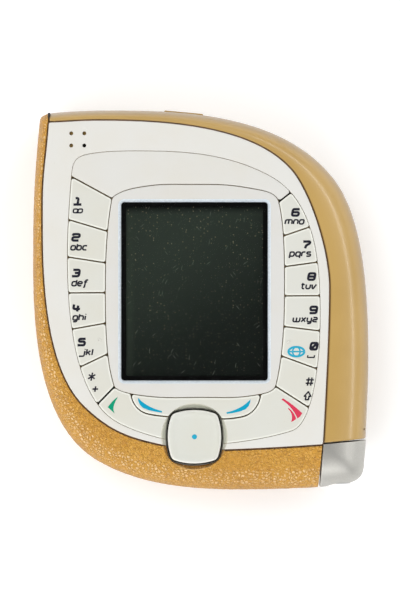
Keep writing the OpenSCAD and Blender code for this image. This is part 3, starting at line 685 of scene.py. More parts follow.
def make_materials():
    made = {}

    def keep(key, look):
        made[key] = look.material
        return look

    for key, (name, rgb, rough, metal, sockets, patches, uneven, lifts) in NOISE_LOOKS.items():
        look = keep(key, Look(name, lin(*rgb), rough, metal, **sockets))
        for row in patches:
            look.patches(*row)
        if uneven:
            look.rough(look.noise(*uneven[:5]), *uneven[5:])
        for *noise, depth in lifts:
            look.bump(look.noise(*noise), depth)

    keep("plate", moulded("white_shell", (220, 219, 214), rough=0.4, well=True))
    keep("trim", moulded("top_band", (217, 216, 211), rough=0.38))
    keep("surround", moulded("display_surround_plastic", (214, 213, 209), rough=0.4))
    keep("key", moulded("key_plastic_ivory", (213, 213, 205), rough=0.36, bright=18.05, well=True))
    nav = keep("nav", moulded("navigation_plastic", (212, 213, 205), rough=0.34))
    # painted highlight on the key's rounded shoulder
    painted_shoulder_highlight = nav.math("MULTIPLY", nav.ramp(nav.upward(), 0.84, 0.92, 1, 0),
                        nav.ramp(nav.upward(), 0.3, 0.6))
    nav.tint(painted_shoulder_highlight, lin(228, 228, 222))

    leather = keep("leather", Look("tan_grained_leather", lin(220, 163, 56), 0.42, Specular_IOR_Level=0.45))
    net = leather.cells(1.3, "DISTANCE_TO_EDGE", leather.warped(0.8, 0.7))
    fine = leather.cells(3.4, "DISTANCE_TO_EDGE", leather.warped(2.4, 0.25))
    leather.patches(0.06, 4, 0.55, 0.35, 0.7, 1, (212, 153, 46))
    leather.patches(0.9, 4, 0.65, 0.4, 0.75, 0.4, (226, 174, 78))
    leather.tint(leather.ramp(net, 0.02, 0.1, 0.25, 0), lin(164, 108, 34))
    leather.tint(leather.ramp(leather.attribute("grain"), 0.1, 0.5, 0.5, 0), lin(166, 110, 36))
    leather.tint(leather.ramp(fine, 0.0, 0.1, 0.2, 0), lin(170, 116, 40))
    # painted shade: darker where the surface turns to the side
    leather.tint(leather.ramp(leather.upward(), 0.1, 0.5, 0.5, 0), lin(168, 118, 38))
    # painted glints: light pebble tops, strongest in a band where the surface faces part way to the side
    glint_band = leather.math("MULTIPLY", leather.ramp(leather.upward(), 0.42, 0.7),
                        leather.ramp(leather.upward(), 0.86, 0.95, 1, 0))
    glint_tops = leather.math("MULTIPLY", leather.ramp(net, 0.1, 0.26),
                        leather.ramp(leather.attribute("grain"), 0.2, 0.8, 0.4, 1))
    leather.tint(leather.math("MULTIPLY", glint_tops, leather.ramp(glint_band, 0, 1, 0.12, 0.8)), lin(248, 214, 164))
    # painted shade on the dished slope round the navigation key, and a painted highlight on its rim
    slope, rim_highlight = leather.well()
    leather.tint(leather.math("MULTIPLY", slope, 0.8), lin(176, 120, 44))
    leather.tint(rim_highlight, lin(222, 174, 104))
    # painted shade: dark brown along the seam's lip, where the gap to the plate lies in shade
    leather.tint(leather.attribute("lip"), lin(84, 54, 26))
    leather.link(leather.ramp(net, 0.05, 0.3, 0.46, 0.25), leather.shader.inputs["Roughness"])
    leather.bump(leather.ramp(net, 0.0, 0.28), 0.16)
    leather.bump(leather.ramp(fine, 0.0, 0.25), 0.05)
    leather.bump(leather.noise(6, 3, 0.6), 0.02)

    sand = keep("sand", Look("sand_satin_paint", lin(190, 156, 92), 0.36, Specular_IOR_Level=0.4,
                             Coat_Weight=0.35, Coat_Roughness=0.2))
    sand.patches(0.05, 3, 0.55, 0.3, 0.75, 1, (182, 148, 84))
    sand.patches(24, 2, 0.7, 0.55, 0.8, 0.35, (212, 184, 130))
    sand.patches(1.7, 2, 0.6, 0.74, 0.8, 0.5, (150, 120, 76))
    # painted shade: darker where the surface turns to the side, towards the outer edge
    sand.tint(sand.ramp(sand.upward(), 0.15, 0.8, 0.85, 0), lin(138, 110, 62))
    # painted shade: dark brown along the seam's lip, where the gap to the plate lies in shade
    sand.tint(sand.attribute("lip"), lin(84, 60, 30))
    sand.rough(sand.noise(0.8, 5, 0.7, squash=(1, 5, 1), turn=-30), 0.3, 0.4)
    sand.bump(sand.noise(14, 2), 0.003)
    sand.bump(sand.noise(0.6, 3), 0.006)

    gold = keep("gold", Look("gold_plating", lin(206, 172, 110), 0.35, metal=0.9))
    gold.patches(3, 3, 0.55, 0.4, 0.7, 0.6, (170, 138, 84))
    gold.rough(gold.noise(6, 3), 0.3, 0.5)
    gold.bump(gold.cells(5, "DISTANCE_TO_EDGE"), 0.05)

    pane = keep("pane", Look("clear_window_acrylic", (0.93, 0.96, 0.95), 0.03, Transmission_Weight=1.0,
                             IOR=1.46, Specular_IOR_Level=0.5))
    wear = pane.math("MAXIMUM", pane.flecks(1.2, 0.07, 0.8),
                     pane.flecks(1.0, 0.1, 0.9, squash=(0.5, 3, 1), turn=60))
    pane.link(pane.math("ADD", pane.math("MULTIPLY", wear, 0.2), 0.02), pane.shader.inputs["Roughness"])

    # switched-off display: dark green-grey, with dust, hairlines and a faint grid of cells. A painted
    # reflection makes it lighter to the upper left and along the left edge, and a painted shadow of the black
    # border darkens its top
    screen = keep("screen", Look("dark_display", lin(31, 37, 32), 0.55, Specular_IOR_Level=0.1))
    x, y, _ = screen.place()
    # painted reflection: lighter towards the upper left
    slope = screen.math("ADD", screen.math("MULTIPLY", x, -0.6), y)
    screen.tint(screen.ramp(slope, -18, 22, 0, 1), lin(68, 77, 68))
    # painted reflection: lighter strip along the left edge
    screen.tint(screen.ramp(x, -17.4, -14.6, 0.45, 0), lin(84, 94, 80))
    # painted shadow of the black border: darker towards the top edge
    upper = VIEW[1] + VIEW_H / 2
    screen.tint(screen.ramp(y, upper - 3, upper - 0.9, 0, 0.85), lin(22, 24, 21))
    for axis, faint in ((x, 0.16), (y, 0.3)):
        screen.tint(screen.ramp(screen.math("PINGPONG", axis, 0.23), 0.12, 0.2, 0, faint), lin(27, 31, 28))
    crowd = screen.math("ADD", screen.noise(0.09, 2), screen.math("MULTIPLY", y, 0.008))
    crowd = screen.ramp(crowd, 0.4, 0.72, 0.25, 1)
    screen.tint(screen.math("MULTIPLY", screen.flecks(1.2, 0.17, 0.8), crowd), lin(176, 160, 130))
    screen.tint(screen.math("MULTIPLY", screen.flecks(2.2, 0.2, 0.86), crowd), lin(118, 122, 106))
    for turn in (38, 62, -52, 80):
        screen.tint(screen.flecks(0.6, 0.12, 0.95, squash=(0.25, 3.0, 1), turn=turn), lin(122, 126, 116))
    screen.rough(screen.noise(2, 3), 0.45, 0.6)

    lens = keep("lens", Look("lens_window", (0.012, 0.012, 0.02), 0.05, Coat_Weight=1.0, Coat_Roughness=0.03))
    lens.tint(lens.ramp(lens.noise(0.4, 2), 0.35, 0.65), (0.02, 0.012, 0.035))

    board = keep("board", Look("solder_mask", lin(28, 92, 58), 0.4, Coat_Weight=0.3))
    board.tint(board.ramp(board.cells(0.9, "DISTANCE_TO_EDGE"), 0.0, 0.09, 1, 0), lin(58, 128, 86))
    board.tint(board.ramp(board.cells(1.7), 0.0, 0.13, 0.9, 0), lin(196, 172, 110))
    board.bump(board.cells(0.9, "DISTANCE_TO_EDGE"), 0.03)

    inks = {"ink": (30, 30, 42), "green": (0, 146, 110), "red": (206, 56, 84), "blue": (0, 152, 186),
            "sky": (38, 160, 190)}
    for key, rgb in inks.items():
        ink = keep(key, Look("print_" + key, lin(*rgb), 0.5, Specular_IOR_Level=0.2))
        r, g, b = lin(*rgb)
        ink.tint(ink.ramp(ink.noise(4, 3, 0.6), 0.45, 0.75, 0, 0.4),
                 (r * 1.15 + 0.004, g * 1.15 + 0.004, b * 1.15 + 0.004))
        ink.rough(ink.noise(6, 2), 0.42, 0.58)

    floor = keep("floor", Look("pale_floor", (0.95, 0.95, 0.95), 0.7, Specular_IOR_Level=0.1))
    floor.tint(floor.ramp(floor.noise(0.004, 3), 0.35, 0.65), (0.93, 0.93, 0.93))
    floor.put("Emission Color", (1, 1, 1, 1))
    floor.put("Emission Strength", 0.22)
    return made


MATERIALS = make_materials()
SLOT_LOOK = {
    "white_plastic": "plate", "trim_plastic": "trim", "surround_plastic": "surround", "clear_window": "pane",
    "gasket_rubber": "border", "display_glass": "screen", "leather_cover": "leather", "sand_paint": "sand",
    "silver_paint": "silver", "back_plastic": "back", "dark_plastic": "dark", "battery_label": "label",
    "gold_contacts": "gold", "card_plastic": "card", "lens_glass": "lens", "circuit_board": "board",
    "silicone_mat": "silicone", "key_plastic": "key", "magnesium": "casting",
    **dict.fromkeys(("stamped_steel", "dome_steel", "tungsten_weight", "microphone_can", "socket_metal",
                     "screw_steel"), "steel")}
NODE_SLOT = {row["node"]: row["material_slot"] for row in frame["record"]["subparts"]}
for node, obj in frame["nodes"].items():
    obj.data.materials.clear()
    obj.data.materials.append(MATERIALS["sand" if node == "power_key" else SLOT_LOOK[NODE_SLOT[node]]])


def soften(node, width, sharp=35):
    """Rounds the sharp edges of a carried-over CAD node, by modifiers only."""
    obj = frame["nodes"][node]
    weld = obj.modifiers.new("weld", "WELD")
    weld.merge_threshold = 0.002 * MM
    bevel = obj.modifiers.new("bevel", "BEVEL")
    bevel.width = width * MM
    bevel.segments = 2
    bevel.limit_method = "ANGLE"
    bevel.angle_limit = math.radians(sharp)
    bevel.harden_normals = True


for node, width in (("rear_housing", 0.12), ("battery_door", 0.12), ("door_latch", 0.15),
                    ("camera_ring", 0.25), ("power_key", 0.2), ("system_connector", 0.12),
                    ("charger_socket", 0.15), ("housing_screws", 0.08)):
    soften(node, width)


# ---------------------------------------------------------------- navigation key's well
def bowed_square(grow=0.0, bow=14.4, r=1.7):
    """The navigation key's outline: four bowed sides and round corners."""
    half = NAV_W / 2
    reach = bow - half
    t = math.asin((math.sqrt(2 * bow**2 - reach**2) - reach) / 2 / bow)
    arc = [(-reach + bow * math.cos(a), bow * math.sin(a)) for a in np.linspace(-t, t, 24, endpoint=False)]
    points = [(x * math.cos(q) - y * math.sin(q), x * math.sin(q) + y * math.cos(q))
              for q in (0, math.pi / 2, math.pi, 1.5 * math.pi) for x, y in arc]
    smooth = rounded(np.array(points), r, sharp=20, steps=8)
    return (inset(smooth, -grow) if grow else smooth) + NAV


def well_cutter(gap=0.52, low=10.0, lip=16.9):
    """Takes the key's opening and the sloped dish round it out of every part it crosses."""
    inner = bowed_square(gap)
    out = inner - NAV
    reach = np.linalg.norm(out, axis=1)[:, None]
    unit = out / reach
    rim = NAV + unit * WELL_R
    foot = lip - 1.2 * np.clip(-unit[:, 1] - 0.45, 0, 1)
    room = NAV + unit * np.maximum(reach, WELL_R - 0.1)
    sill = np.maximum(foot - WELL_SILL, TRAY_TOP + 0.05)
    n = len(inner)
    rings = [np.c_[room, np.full(n, low)], np.c_[room, sill], np.c_[inner, sill + 0.04]]
    rings += [np.c_[inner + (rim - inner) * t, foot + rise] for t, rise in WELL_RISE]
    rings.append(np.c_[rim, np.full(n, KEY_TOP + 0.06)])
    rings.append(np.c_[rim + unit * 0.6, np.full(n, KEY_TOP + 2)])
    return stacked(rings)


WELL = well_cutter()

# ---------------------------------------------------------------- ring of keys
ring_outer = curve(RING_OUT, inward=0.08)
ring_inner = curve(RING_IN, inward=-KEY_GAP)
bar_low = curve(BAR_EDGE, 0.25, inward=KEY_GAP)
bar_room = curve(BAR_EDGE, 0.25, inward=-KEY_GAP)


def rung(side, i, d):
    """A seam between two keys as a line, moved up by d."""
    (y0, y1), (x0, x1) = (LEFT_RUNGS[i], (-30, -21)) if side < 0 else (RIGHT_RUNGS[i], (27, 18))
    slope = (y0 - y1) / (x0 - x1)
    return np.array([(x, y1 + slope * (x - x1) + d * math.hypot(1, slope)) for x in (side * 45, side * 8)])


def middle(side, i, inner=False):
    (y0, y1) = (LEFT_RUNGS if side < 0 else RIGHT_RUNGS)[i]
    return np.array([(-21 if side < 0 else 18), y1]) if inner else np.array([(-30 if side < 0 else 27), y0])


def key_outline(side, i, above=KEY_GAP, below=KEY_GAP, out=ring_outer, inn=ring_inner):
    """Outline of a number key between seams i and i + 1."""
    high, low = rung(side, i, -above), rung(side, i + 1, below)
    oh, ol = (meeting(out, r, middle(side, j))[0] for r, j in ((high, i), (low, i + 1)))
    ih, il = (meeting(inn, r, middle(side, j, True))[0] for r, j in ((high, i), (low, i + 1)))
    if side < 0:
        return np.vstack([stretch(out, oh, ol), stretch(inn, ih, il)[::-1]])
    return np.vstack([stretch(out, ol, oh), stretch(inn, il, ih)[::-1]])


def low_outline(side):
    """Outline of the call or end key, before the navigation key's well is taken out."""
    line = rung(side, 6, -0.17)
    wall = np.array([(NAV[0], -45.0), (NAV[0], -15.0)])
    o, i = meeting(ring_outer, line, middle(side, 6))[0], meeting(ring_inner, line, middle(side, 6, True))[0]
    foot = meeting(ring_outer, wall, (NAV[0], -33))[0]
    head = meeting(bar_room, wall, (NAV[0], -27))[0]
    turn_bar, turn_in = meeting(bar_room, ring_inner, (side * 15 - 1, -21.4))
    if side < 0:
        return np.vstack([stretch(ring_outer, o, foot), stretch(bar_room, turn_bar, head)[::-1],
                          stretch(ring_inner, i, turn_in)[::-1]])
    return np.vstack([stretch(ring_outer, foot, o), stretch(ring_inner, turn_in, i)[::-1],
                      stretch(bar_room, head, turn_bar)[::-1]])


def bar_outline():
    a, p = meeting(bar_low, ring_inner, (-16, -21.4))
    b, q = meeting(bar_low, ring_inner, (13.6, -21.6))
    return np.vstack([stretch(bar_low, a, b), stretch(ring_inner, p, q)[::-1]])


def plunger(spot, r=1.0, low=13.4, high=15.6):
    return lathe([(r - 0.15, low), (r, low + 0.15), (r, high)], (*spot, 0), 28)


def build_keys():
    left = ["key_1", "key_2", "key_3", "key_4", "key_5", "key_star"]
    right = ["key_6", "key_7", "key_8", "key_9", "key_0", "key_hash"]
    left_spots = [(-25.6, 22), (-26.2, 13.2), (-26.2, 5.6), (-26, -1.8), (-24.8, -9.6), (-22.7, -17.6)]
    right_spots = [(21, 18.8), (22.8, 12.1), (23.3, 4.7), (23.3, -2.8), (22.9, -10.1), (21.9, -18.2)]
    wide_out, wide_in = curve(RING_OUT, inward=-0.7), curve(RING_IN, inward=0.7)
    cap_rows = edge(FLANGE_TOP - 0.02, KEY_TOP, 0.2, crown=True)
    flange_rows = edge(FLANGE_LOW, FLANGE_TOP, 0.12, steps=2)
    low_rows = edge(FLANGE_LOW, KEY_TOP, 0.2, crown=True)
    for side, names, spots in ((-1, left, left_spots), (1, right, right_spots)):
        for i, (name, spot) in enumerate(zip(names, spots)):
            above = 0.21 if (side, i) == (1, 0) else KEY_GAP
            below = 0.22 if (side, i) == (-1, 5) else KEY_GAP
            cap = tile([rounded(key_outline(side, i, above, below), 0.5)], [cap_rows], True)
            foot = tile([rounded(key_outline(side, i, 0.25, 0.25, wide_out, wide_in), 0.3)], [flange_rows])
            part(name + "_cap", merge(cap, foot, plunger(spot)), "key", "key_plastic", name, body=name)
    for side, name, spot in ((-1, "call_key", (-15.5, -27.3)), (1, "end_key", (15.5, -26.9))):
        outline = rounded(low_outline(side), 0.5)
        mesh = joined(carve(raw_mesh(*tile([outline], [low_rows], True)), [WELL]), plunger(spot))
        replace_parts(show(name + "_cap", mesh, name, "key", "key_plastic"), name)
    bar = carve(raw_mesh(*tile([rounded(bar_outline(), 0.5)], [low_rows], True)), [WELL])
    feet = [plunger(spot, 0.9, 13.5) for spot in ((-12.8, -24), (10.3, -24.2))]
    pivot = lathe([(0.5, 0), (0.5, 0.75)], (NAV[0], -22.75, 15), 28, axis="-y")
    bar = joined(bar, *feet, pivot)
    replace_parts(show("soft_key_bar_cap", bar, "soft_key_bar", "key", "key_plastic"), "soft_key_bar")


# ---------------------------------------------------------------- fixed front parts
def build_front():
    seam = np.vstack([curve(LEFT_SEAM, inward=0.18), curve(RIGHT_SEAM, inward=0.18)])
    ring_hole = rounded(curve(RING_OUT, inward=-0.02), 0.5)[::-1]
    ears = [circle((-29.8 + x, 38.3 + y), 0.45, 28)[::-1] for x in (0, 3) for y in (0, -2.8)]
    rows = edge(PLATE_LOW, PLATE_TOP, 0.22)
    ear_rows = [(0, PLATE_LOW), (0, PLATE_TOP - 0.06), (0.03, PLATE_TOP - 0.02), (0.08, PLATE_TOP)]
    ring_rows = edge(PLATE_LOW, PLATE_TOP, 0.16, steps=3)
    plate = tile([rounded(seam, 0.35), ring_hole, *ears], [rows, ring_rows] + [ear_rows] * 4)
    part("front_plate", plate, "plate", "white_plastic", "front_cover", cutters=[WELL])
    # brown strip in the seam between the plate and the covers: painted shade in place of the shaded gap
    sides = [rounded(np.vstack([curve(LEFT_SEAM, inward=d), curve(RIGHT_SEAM, inward=d)]), 0.35)
             for d in (0.01, 0.16)]
    seam_shade_fill = tile([sides[0], sides[1][::-1]], [[(0, 16.75), (0, 17.74)]] * 2)
    part("seam_shade_strip", seam_shade_fill, "seam_shade_fill", "silicone_mat", cutters=[WELL])
    pit = lathe([(0.4, 16.72), (0.4, 17.0), (0.3, 17.04)], (-26.8, 35.5, 0), 28)
    part("microphone_pit", pit, "border", "gasket_rubber")
    # skirt that the plate's inner body continues into
    core = [(-34.7, 36, 268, 2.5, 6), (-36.0, 22.5, 270, 6, 12), (-26.2, -24.4, 317, 14.5, 7.5),
            (-9.2, -32.7, 348, 8, 8), (5.3, -33.9, 362, 8, 6), (24.5, -33.0, 364, 6, 2.2),
            (27.7, -29.5, 447, 2, 9), (29.1, 2.8, 450, 10, 9), (20.8, 29.3, 490, 6, 13.5),
            (-23.2, 40.9, 540, 15.5, 4), (-31, 40.5, 542, 2, 2.2), (-34.7, 36, 628, 2.5, 0)]
    wall = [tidy(curve(core, 0.5, inward=0.1)), tidy(curve(core, 0.5, inward=0.75))[::-1]]
    skirt = tile(wall, [[(d, SKIRT_LOW - 0.08), (0, SKIRT_LOW), (0, PLATE_LOW)] for d in (0.05, 0)])
    part("front_skirt", skirt, "plate", "white_plastic", cutters=[WELL])

    # band over the display
    top = [meeting(ring_outer, rung(s, 0, 0.15), middle(s, 0))[0] for s in (1, -1)]
    low = [meeting(ring_inner, rung(s, 0, 0.15), middle(s, 0, True))[0] for s in (1, -1)]
    band = np.vstack([stretch(ring_outer, top[0], top[1]), stretch(ring_inner, low[0], low[1])[::-1]])
    trim = tile([rounded(band, 0.5)], [edge(15.2, PLATE_TOP + 0.05, 0.22, crown=True)], True)
    part("top_band", trim, "trim", "trim_plastic", "top_trim")

    # frame round the display, its body under the keys' feet, and its sloped lip
    hub = rounded(curve(RING_IN, inward=0.02), 0.5)
    frame_top = PLATE_TOP + 0.05
    lip_out = ground_rect(VIEW_W, VIEW_H, 0.75)[::-1]
    hole = inset(lip_out, LIP_W)
    surround = tile([hub, hole], [edge(PLATE_LOW, frame_top, 0.2),
                                  [(0, PLATE_LOW), (0, frame_top - 0.03), (0.03, frame_top)]])
    pocket = ground_rect(VIEW_W + 2.2, VIEW_H + 2.2, 1.0)[::-1]
    body = tile([ground_rect(VIEW_W + 3.8, VIEW_H + 3.8, 3.0), pocket],
                [[(0.05, SKIRT_LOW - 0.05), (0, SKIRT_LOW), (0, PLATE_LOW + 0.02)]] * 2)
    part("display_frame_cover", merge(surround, body), "surround", "surround_plastic", "display_surround")
    n = len(lip_out)
    lip_low, lip_foot = 16.62, 16.8
    slope = [(0.0, lip_low), (0.0, lip_foot)]
    slope += [(LIP_W * t, lip_foot + (frame_top - lip_foot) * math.sin(t * math.pi / 2))
              for t in (0.12, 0.3, 0.5, 0.7, 0.88, 1)]
    slope += [(LIP_W - 0.04, frame_top - 0.02), (LIP_W - 0.04, lip_low)]
    verts = [np.c_[inset(lip_out, d) if d else lip_out, np.full(n, z)] for d, z in slope]
    faces = [f for k in range(len(verts) - 1) for f in tube_faces(k * n, (k + 1) * n, n)]
    faces += tube_faces((len(verts) - 1) * n, 0, n)
    part("display_lip_ring", (np.vstack(verts), faces), "lip", "surround_plastic")

    # rubber in the seams between the keys, and tan-brown fill in the grooves round the whole ring
    webs = [tile([strip(side, i)], [[(0, 14.6), (0, WEB_TOP - 0.05), (0.05, WEB_TOP)]])
            for side, seams in ((-1, range(6)), (1, range(1, 7))) for i in seams]
    webs.append(tile([bar_seam()], [[(0, 15.6), (0, WEB_TOP)]]))
    grooves = [tile([tidy(curve(stops, inward=a)), tidy(curve(stops, inward=b))[::-1]],
                    [[(0, 16.75), (0, WEB_TOP + 0.1)]] * 2)
               for stops, a, b in ((RING_OUT, -0.02, 0.06), (RING_IN, -0.12, 0.02))]
    part("seam_web", merge(*webs), "web", "silicone_mat", cutters=[WELL])
    part("outer_groove", grooves[0], "groove", "silicone_mat", cutters=[WELL])
    part("inner_groove", grooves[1], "web", "silicone_mat")


def strip(side, i, half=0.11):
    """The narrow space between two keys."""
    lines = [rung(side, i, d) for d in (half, -half)]
    o = [at(ring_outer, meeting(ring_outer, line, middle(side, i))[0]) for line in lines]
    inn = [at(ring_inner, meeting(ring_inner, line, middle(side, i, True))[0]) for line in lines]
    loop = even(np.array([o[0], o[1], inn[1], inn[0]]))
    return loop if side < 0 else loop[::-1]


def bar_seam(half=0.06):
    """The narrow space between the soft key bar and the two keys below it."""
    above, below = (curve(BAR_EDGE, 0.3, inward=d) for d in (half, -half))
    return even(tidy(np.vstack([below[1:-1], above[1:-1][::-1]])))


def ground_rect(w, h, r, centre=VIEW):
    return rounded(centre + np.array([(-w, -h), (w, -h), (w, h), (-w, h)]) / 2, r, steps=6)


def build_display():
    def plate(grow, r, rows, *holes):
        return tile([ground_rect(VIEW_W + grow, VIEW_H + grow, r), *holes], [rows] * (1 + len(holes)))

    pane = plate(1.7, 0.9, [(0.12, 15.72), (0, 15.84), (0, 16.45), (0.12, 16.57)])
    part("window_pane", pane, "pane", "clear_window", "display_window")
    opening = ground_rect(VIEW_W - 2.2, VIEW_H - 2.1, 0.5)[::-1]
    mask = plate(1.6, 0.9, [(0, 15.3), (0, 15.62), (0.04, 15.66)], opening)
    part("black_border", mask, "border", "gasket_rubber", "display_gasket")
    panel = plate(0.6, 0.4, [(0.05, 12.35), (0, 12.4), (0, 15.2), (0.05, 15.25)])
    part("display_panel", panel, "screen", "display_glass", "display_module")


# ---------------------------------------------------------------- navigation key
def build_navigation():
    shape = bowed_square()
    rows = [(0.25, 15.9), (0.0, 16.1), (0.0, NAV_TOP - 0.75)]
    rows += [(0.62 * (1 - math.cos(a)), NAV_TOP - 0.75 + 0.72 * math.sin(a))
             for a in np.linspace(0.2, 1.45, 7)]
    rows += [(0.75, NAV_TOP), (0.95, NAV_TOP - 0.02), (1.2, NAV_TOP - 0.1), (1.45, NAV_TOP - 0.19)]
    n = len(shape)
    rings = [np.c_[inset(shape, d) if d else shape, np.full(n, z)] for d, z in rows]
    last = rings[-1][:, :2] - NAV
    radius = np.linalg.norm(last, axis=1)[:, None]
    for t in (0.12, 0.28, 0.5, 0.75, 0.93):
        ring = last / radius * (radius * (1 - t) + 4.2 * t) * (1 - 0.95 * t)
        rings.append(np.c_[ring + NAV, np.full(n, NAV_TOP - 0.19 - 0.2 * (1 - (1 - t)**2))])
    key = merge(stacked(rings), lathe([(2.05, 13.25), (2.2, 13.4), (2.2, 16.0)], (*NAV, 0), 40))
    part("nav_key_cap", key, "nav", "key_plastic", "nav_key", body="nav_key")
    floor_z = NAV_TOP - 0.39
    dot = lathe([(0.58, floor_z - 0.05), (0.58, floor_z + 0.012), (0.54, floor_z + 0.03)], (*NAV, 0), 36)
    part("nav_key_dot", dot, "sky", body="nav_key")

    # silver tray under the well with a thin rim just outside the key
    rim_in, rim_out = bowed_square(0.3), bowed_square(0.42)
    reach = np.linalg.norm(rim_out - NAV, axis=1)[:, None]
    inner, outer = rim_in, NAV + (rim_out - NAV) / reach * np.maximum(reach, 7.5)
    tray = tile([outer, inner[::-1]], [[(0.04, 15.12), (0, 15.16), (0, 15.81), (0.04, TRAY_TOP)],
                                       [(0, 15.12), (0, 15.2), (0, 15.8), (0.02, TRAY_TOP)]])
    rim_rows = [(0, 15.3), (0, 16.7), (0.03, 16.76)]
    rim = tile([rim_out, rim_in[::-1]], [rim_rows, rim_rows])
    part("nav_tray", merge(tray, rim), "silver", "silver_paint", "nav_collar")


# ---------------------------------------------------------------- wrap covers
def sup(v):
    return np.sign(v) * np.abs(v)**(2 / COVER_POWER)


def resample(points, n):
    d = np.r_[0, np.cumsum(np.linalg.norm(np.diff(points, axis=0), axis=1))]
    t = np.linspace(0, d[-1], n)
    return np.c_[[np.interp(t, d, points[:, i]) for i in range(points.shape[1])]].T


def section(width, n, lip=0.3):
    """Outer profile of a cover as (distance from the seam, height), from the front lip to the back lip."""
    a = np.linspace(math.pi / 2, -math.pi / 2, 721)
    x = width * np.where(np.abs(a) > math.pi / 2 - 1e-9, 0, sup(np.cos(a)))
    z = COVER_HALF * sup(np.sin(a))
    q = 0.5 - 0.5 * np.cos(np.linspace(0, math.pi / 2, 12))
    near = lip * q * 2
    half = 361
    zf = np.interp(near, x[:half], z[:half])
    zf -= lip - np.sqrt(np.maximum(lip**2 - (lip - np.minimum(near, lip))**2, 0))
    body = x > lip
    line = np.vstack([np.c_[near, zf], np.c_[x[body], z[body]], np.c_[near[::-1], -zf[::-1]]])
    return resample(line, n)


def spine(edge_stops, seam_stops, step, soft=0.25):
    """Stations along a cover: edge point, facing seam point, and how far its end is rounded off."""
    fine, seam = curve(edge_stops, 0.1), curve(seam_stops, 0.1)
    d = np.r_[0, np.cumsum(np.linalg.norm(np.diff(fine, axis=0), axis=1))]
    total = d[-1]
    start = np.array([0, 0.03, 0.08, 0.15])
    t = np.r_[start, np.linspace(soft, total - soft, round(total / step)), total - start[::-1]]
    points = np.c_[np.interp(t, d, fine[:, 0]), np.interp(t, d, fine[:, 1])]
    knots = np.linspace(0, total, 60)
    at_knots = np.c_[np.interp(knots, d, fine[:, 0]), np.interp(knots, d, fine[:, 1])]
    j = np.array([np.argmin(np.linalg.norm(seam - p, axis=1)) for p in at_knots], float)
    j = (j - j[0]) * (len(seam) - 1) / (j[-1] - j[0])
    for _ in range(3):
        j[1:-1] = (j[:-2] + 2 * j[1:-1] + j[2:]) / 4
    k = np.interp(t, knots, j)
    facing = np.c_[[np.interp(k, np.arange(len(seam)), seam[:, i]) for i in (0, 1)]].T
    near_end = np.minimum(t, total - t)
    drop = np.where(near_end < soft, soft - np.sqrt(np.maximum(soft**2 - (soft - near_end)**2, 0)), 0)
    return points, facing, drop


def side_of(line):
    """Left-hand unit normal at each point of an open profile."""
    tangent = np.gradient(line, axis=0)
    left = np.c_[-tangent[:, 1], tangent[:, 0]]
    return left / np.linalg.norm(left, axis=1)[:, None]


def cover_shell(edge_stops, seam_stops, step, across, relief=None):
    """The mesh of a hollow wrap cover. At each vertex it holds the relief and how near the seam's lip is, for
    the painted shade along the seam.
    """
    edges, seams, drop = spine(edge_stops, seam_stops, step)
    rows, normals3, lip_shade = [], [], []
    inner_n = 26
    for p, s, d in zip(edges, seams, drop):
        w = p - s
        width = np.linalg.norm(w)
        u = w / width
        line = section(width, across)
        nrm = side_of(line)
        line = line - nrm * d
        lip_shade.append(np.r_[np.interp(line[:, 0], LIP_SHADE_SPAN, (1, 0)), 1, np.zeros(inner_n - 2), 1])
        rows.append(np.c_[s + u * line[:, :1], COVER_MID + line[:, 1]])
        normals3.append(np.c_[u * nrm[:, :1], nrm[:, 1]])
        a = np.linspace(-math.pi / 2, math.pi / 2, inner_n)
        x = (width - COVER_WALL) * np.r_[0, sup(np.cos(a[1:-1])), 0]
        z = (COVER_HALF - COVER_WALL) * sup(np.sin(a))
        rows.append(np.c_[s + u * x[:, None], COVER_MID + z])
    m = across + inner_n
    verts = np.vstack(rows)
    outer = np.arange(len(edges))[:, None] * m + np.arange(across)
    grain = np.zeros(len(verts))
    if relief is not None:
        flat = outer.ravel()
        value = relief(verts[flat])
        verts[flat] += np.vstack(normals3) * ((value - 1) * GRAIN_DEPTH)[:, None]
        grain[flat] = value
    n = len(edges)
    s, c = np.meshgrid(np.arange(n - 1) * m, np.arange(m), indexing="ij")
    a, b = s + c, s + (c + 1) % m
    faces = np.stack([a, a + m, b + m, b], -1).reshape(-1, 4).tolist()
    for base in (0, (n - 1) * m):
        ring = verts[base:base + m]
        axis = ring[across // 2, :2] - ring[0, :2]
        axis /= np.linalg.norm(axis)
        flat = np.c_[(ring[:, :2] - ring[0, :2]) @ axis, ring[:, 2]]
        for t in fill([flat])[1]:
            faces.append([base + i for i in t])
    return raw_mesh(verts, faces, grain=grain, lip=np.concatenate(lip_shade))


GRAIN_DEPTH = 0.085
# distances from the seam over which the painted shade along the lip fades out
LIP_SHADE_SPAN = (0.1, 0.26)


def pebble(points, cell=0.92, seed=11):
    """Leather grain, 0 in the creases to 1 on the pebbles, from the two nearest of a seeded cloud of points.
    The grain is drawn out across the cover."""
    rng = np.random.default_rng(seed)
    along = np.array([0.55, -0.83, 0])
    points = points - 0.4 * (points @ along)[:, None] * along

    def cloud(size):
        low = np.floor(points.min(0) / size).astype(int) - 2
        high = np.floor(points.max(0) / size).astype(int) + 3
        return low, rng.random((*(high - low), 3))

    def nearest_two(size, stretch_by=(1, 1, 1)):
        low, jitter = cloud(size)
        home = np.floor(points / size).astype(int)
        first = np.full(len(points), 9.0)
        second = np.full(len(points), 9.0)
        for dx in (-1, 0, 1):
            for dy in (-1, 0, 1):
                for dz in (-1, 0, 1):
                    idx = home + (dx, dy, dz)
                    spot = (idx + jitter[tuple((idx - low).T)]) * size
                    dist = np.linalg.norm((points - spot) * stretch_by, axis=1) / size
                    closer = dist < first
                    second = np.where(closer, first, np.minimum(second, dist))
                    first = np.where(closer, dist, first)
        return first, second

    a, b = nearest_two(cell)
    crease = np.clip((b - a) / 0.34, 0, 1)
    a2, b2 = nearest_two(cell * 0.45)
    fine = np.clip((b2 - a2) / 0.5, 0, 1)
    dome = 1 - 0.35 * np.clip(a, 0, 1)**2
    return (crease**0.6) * dome * (0.82 + 0.18 * fine)


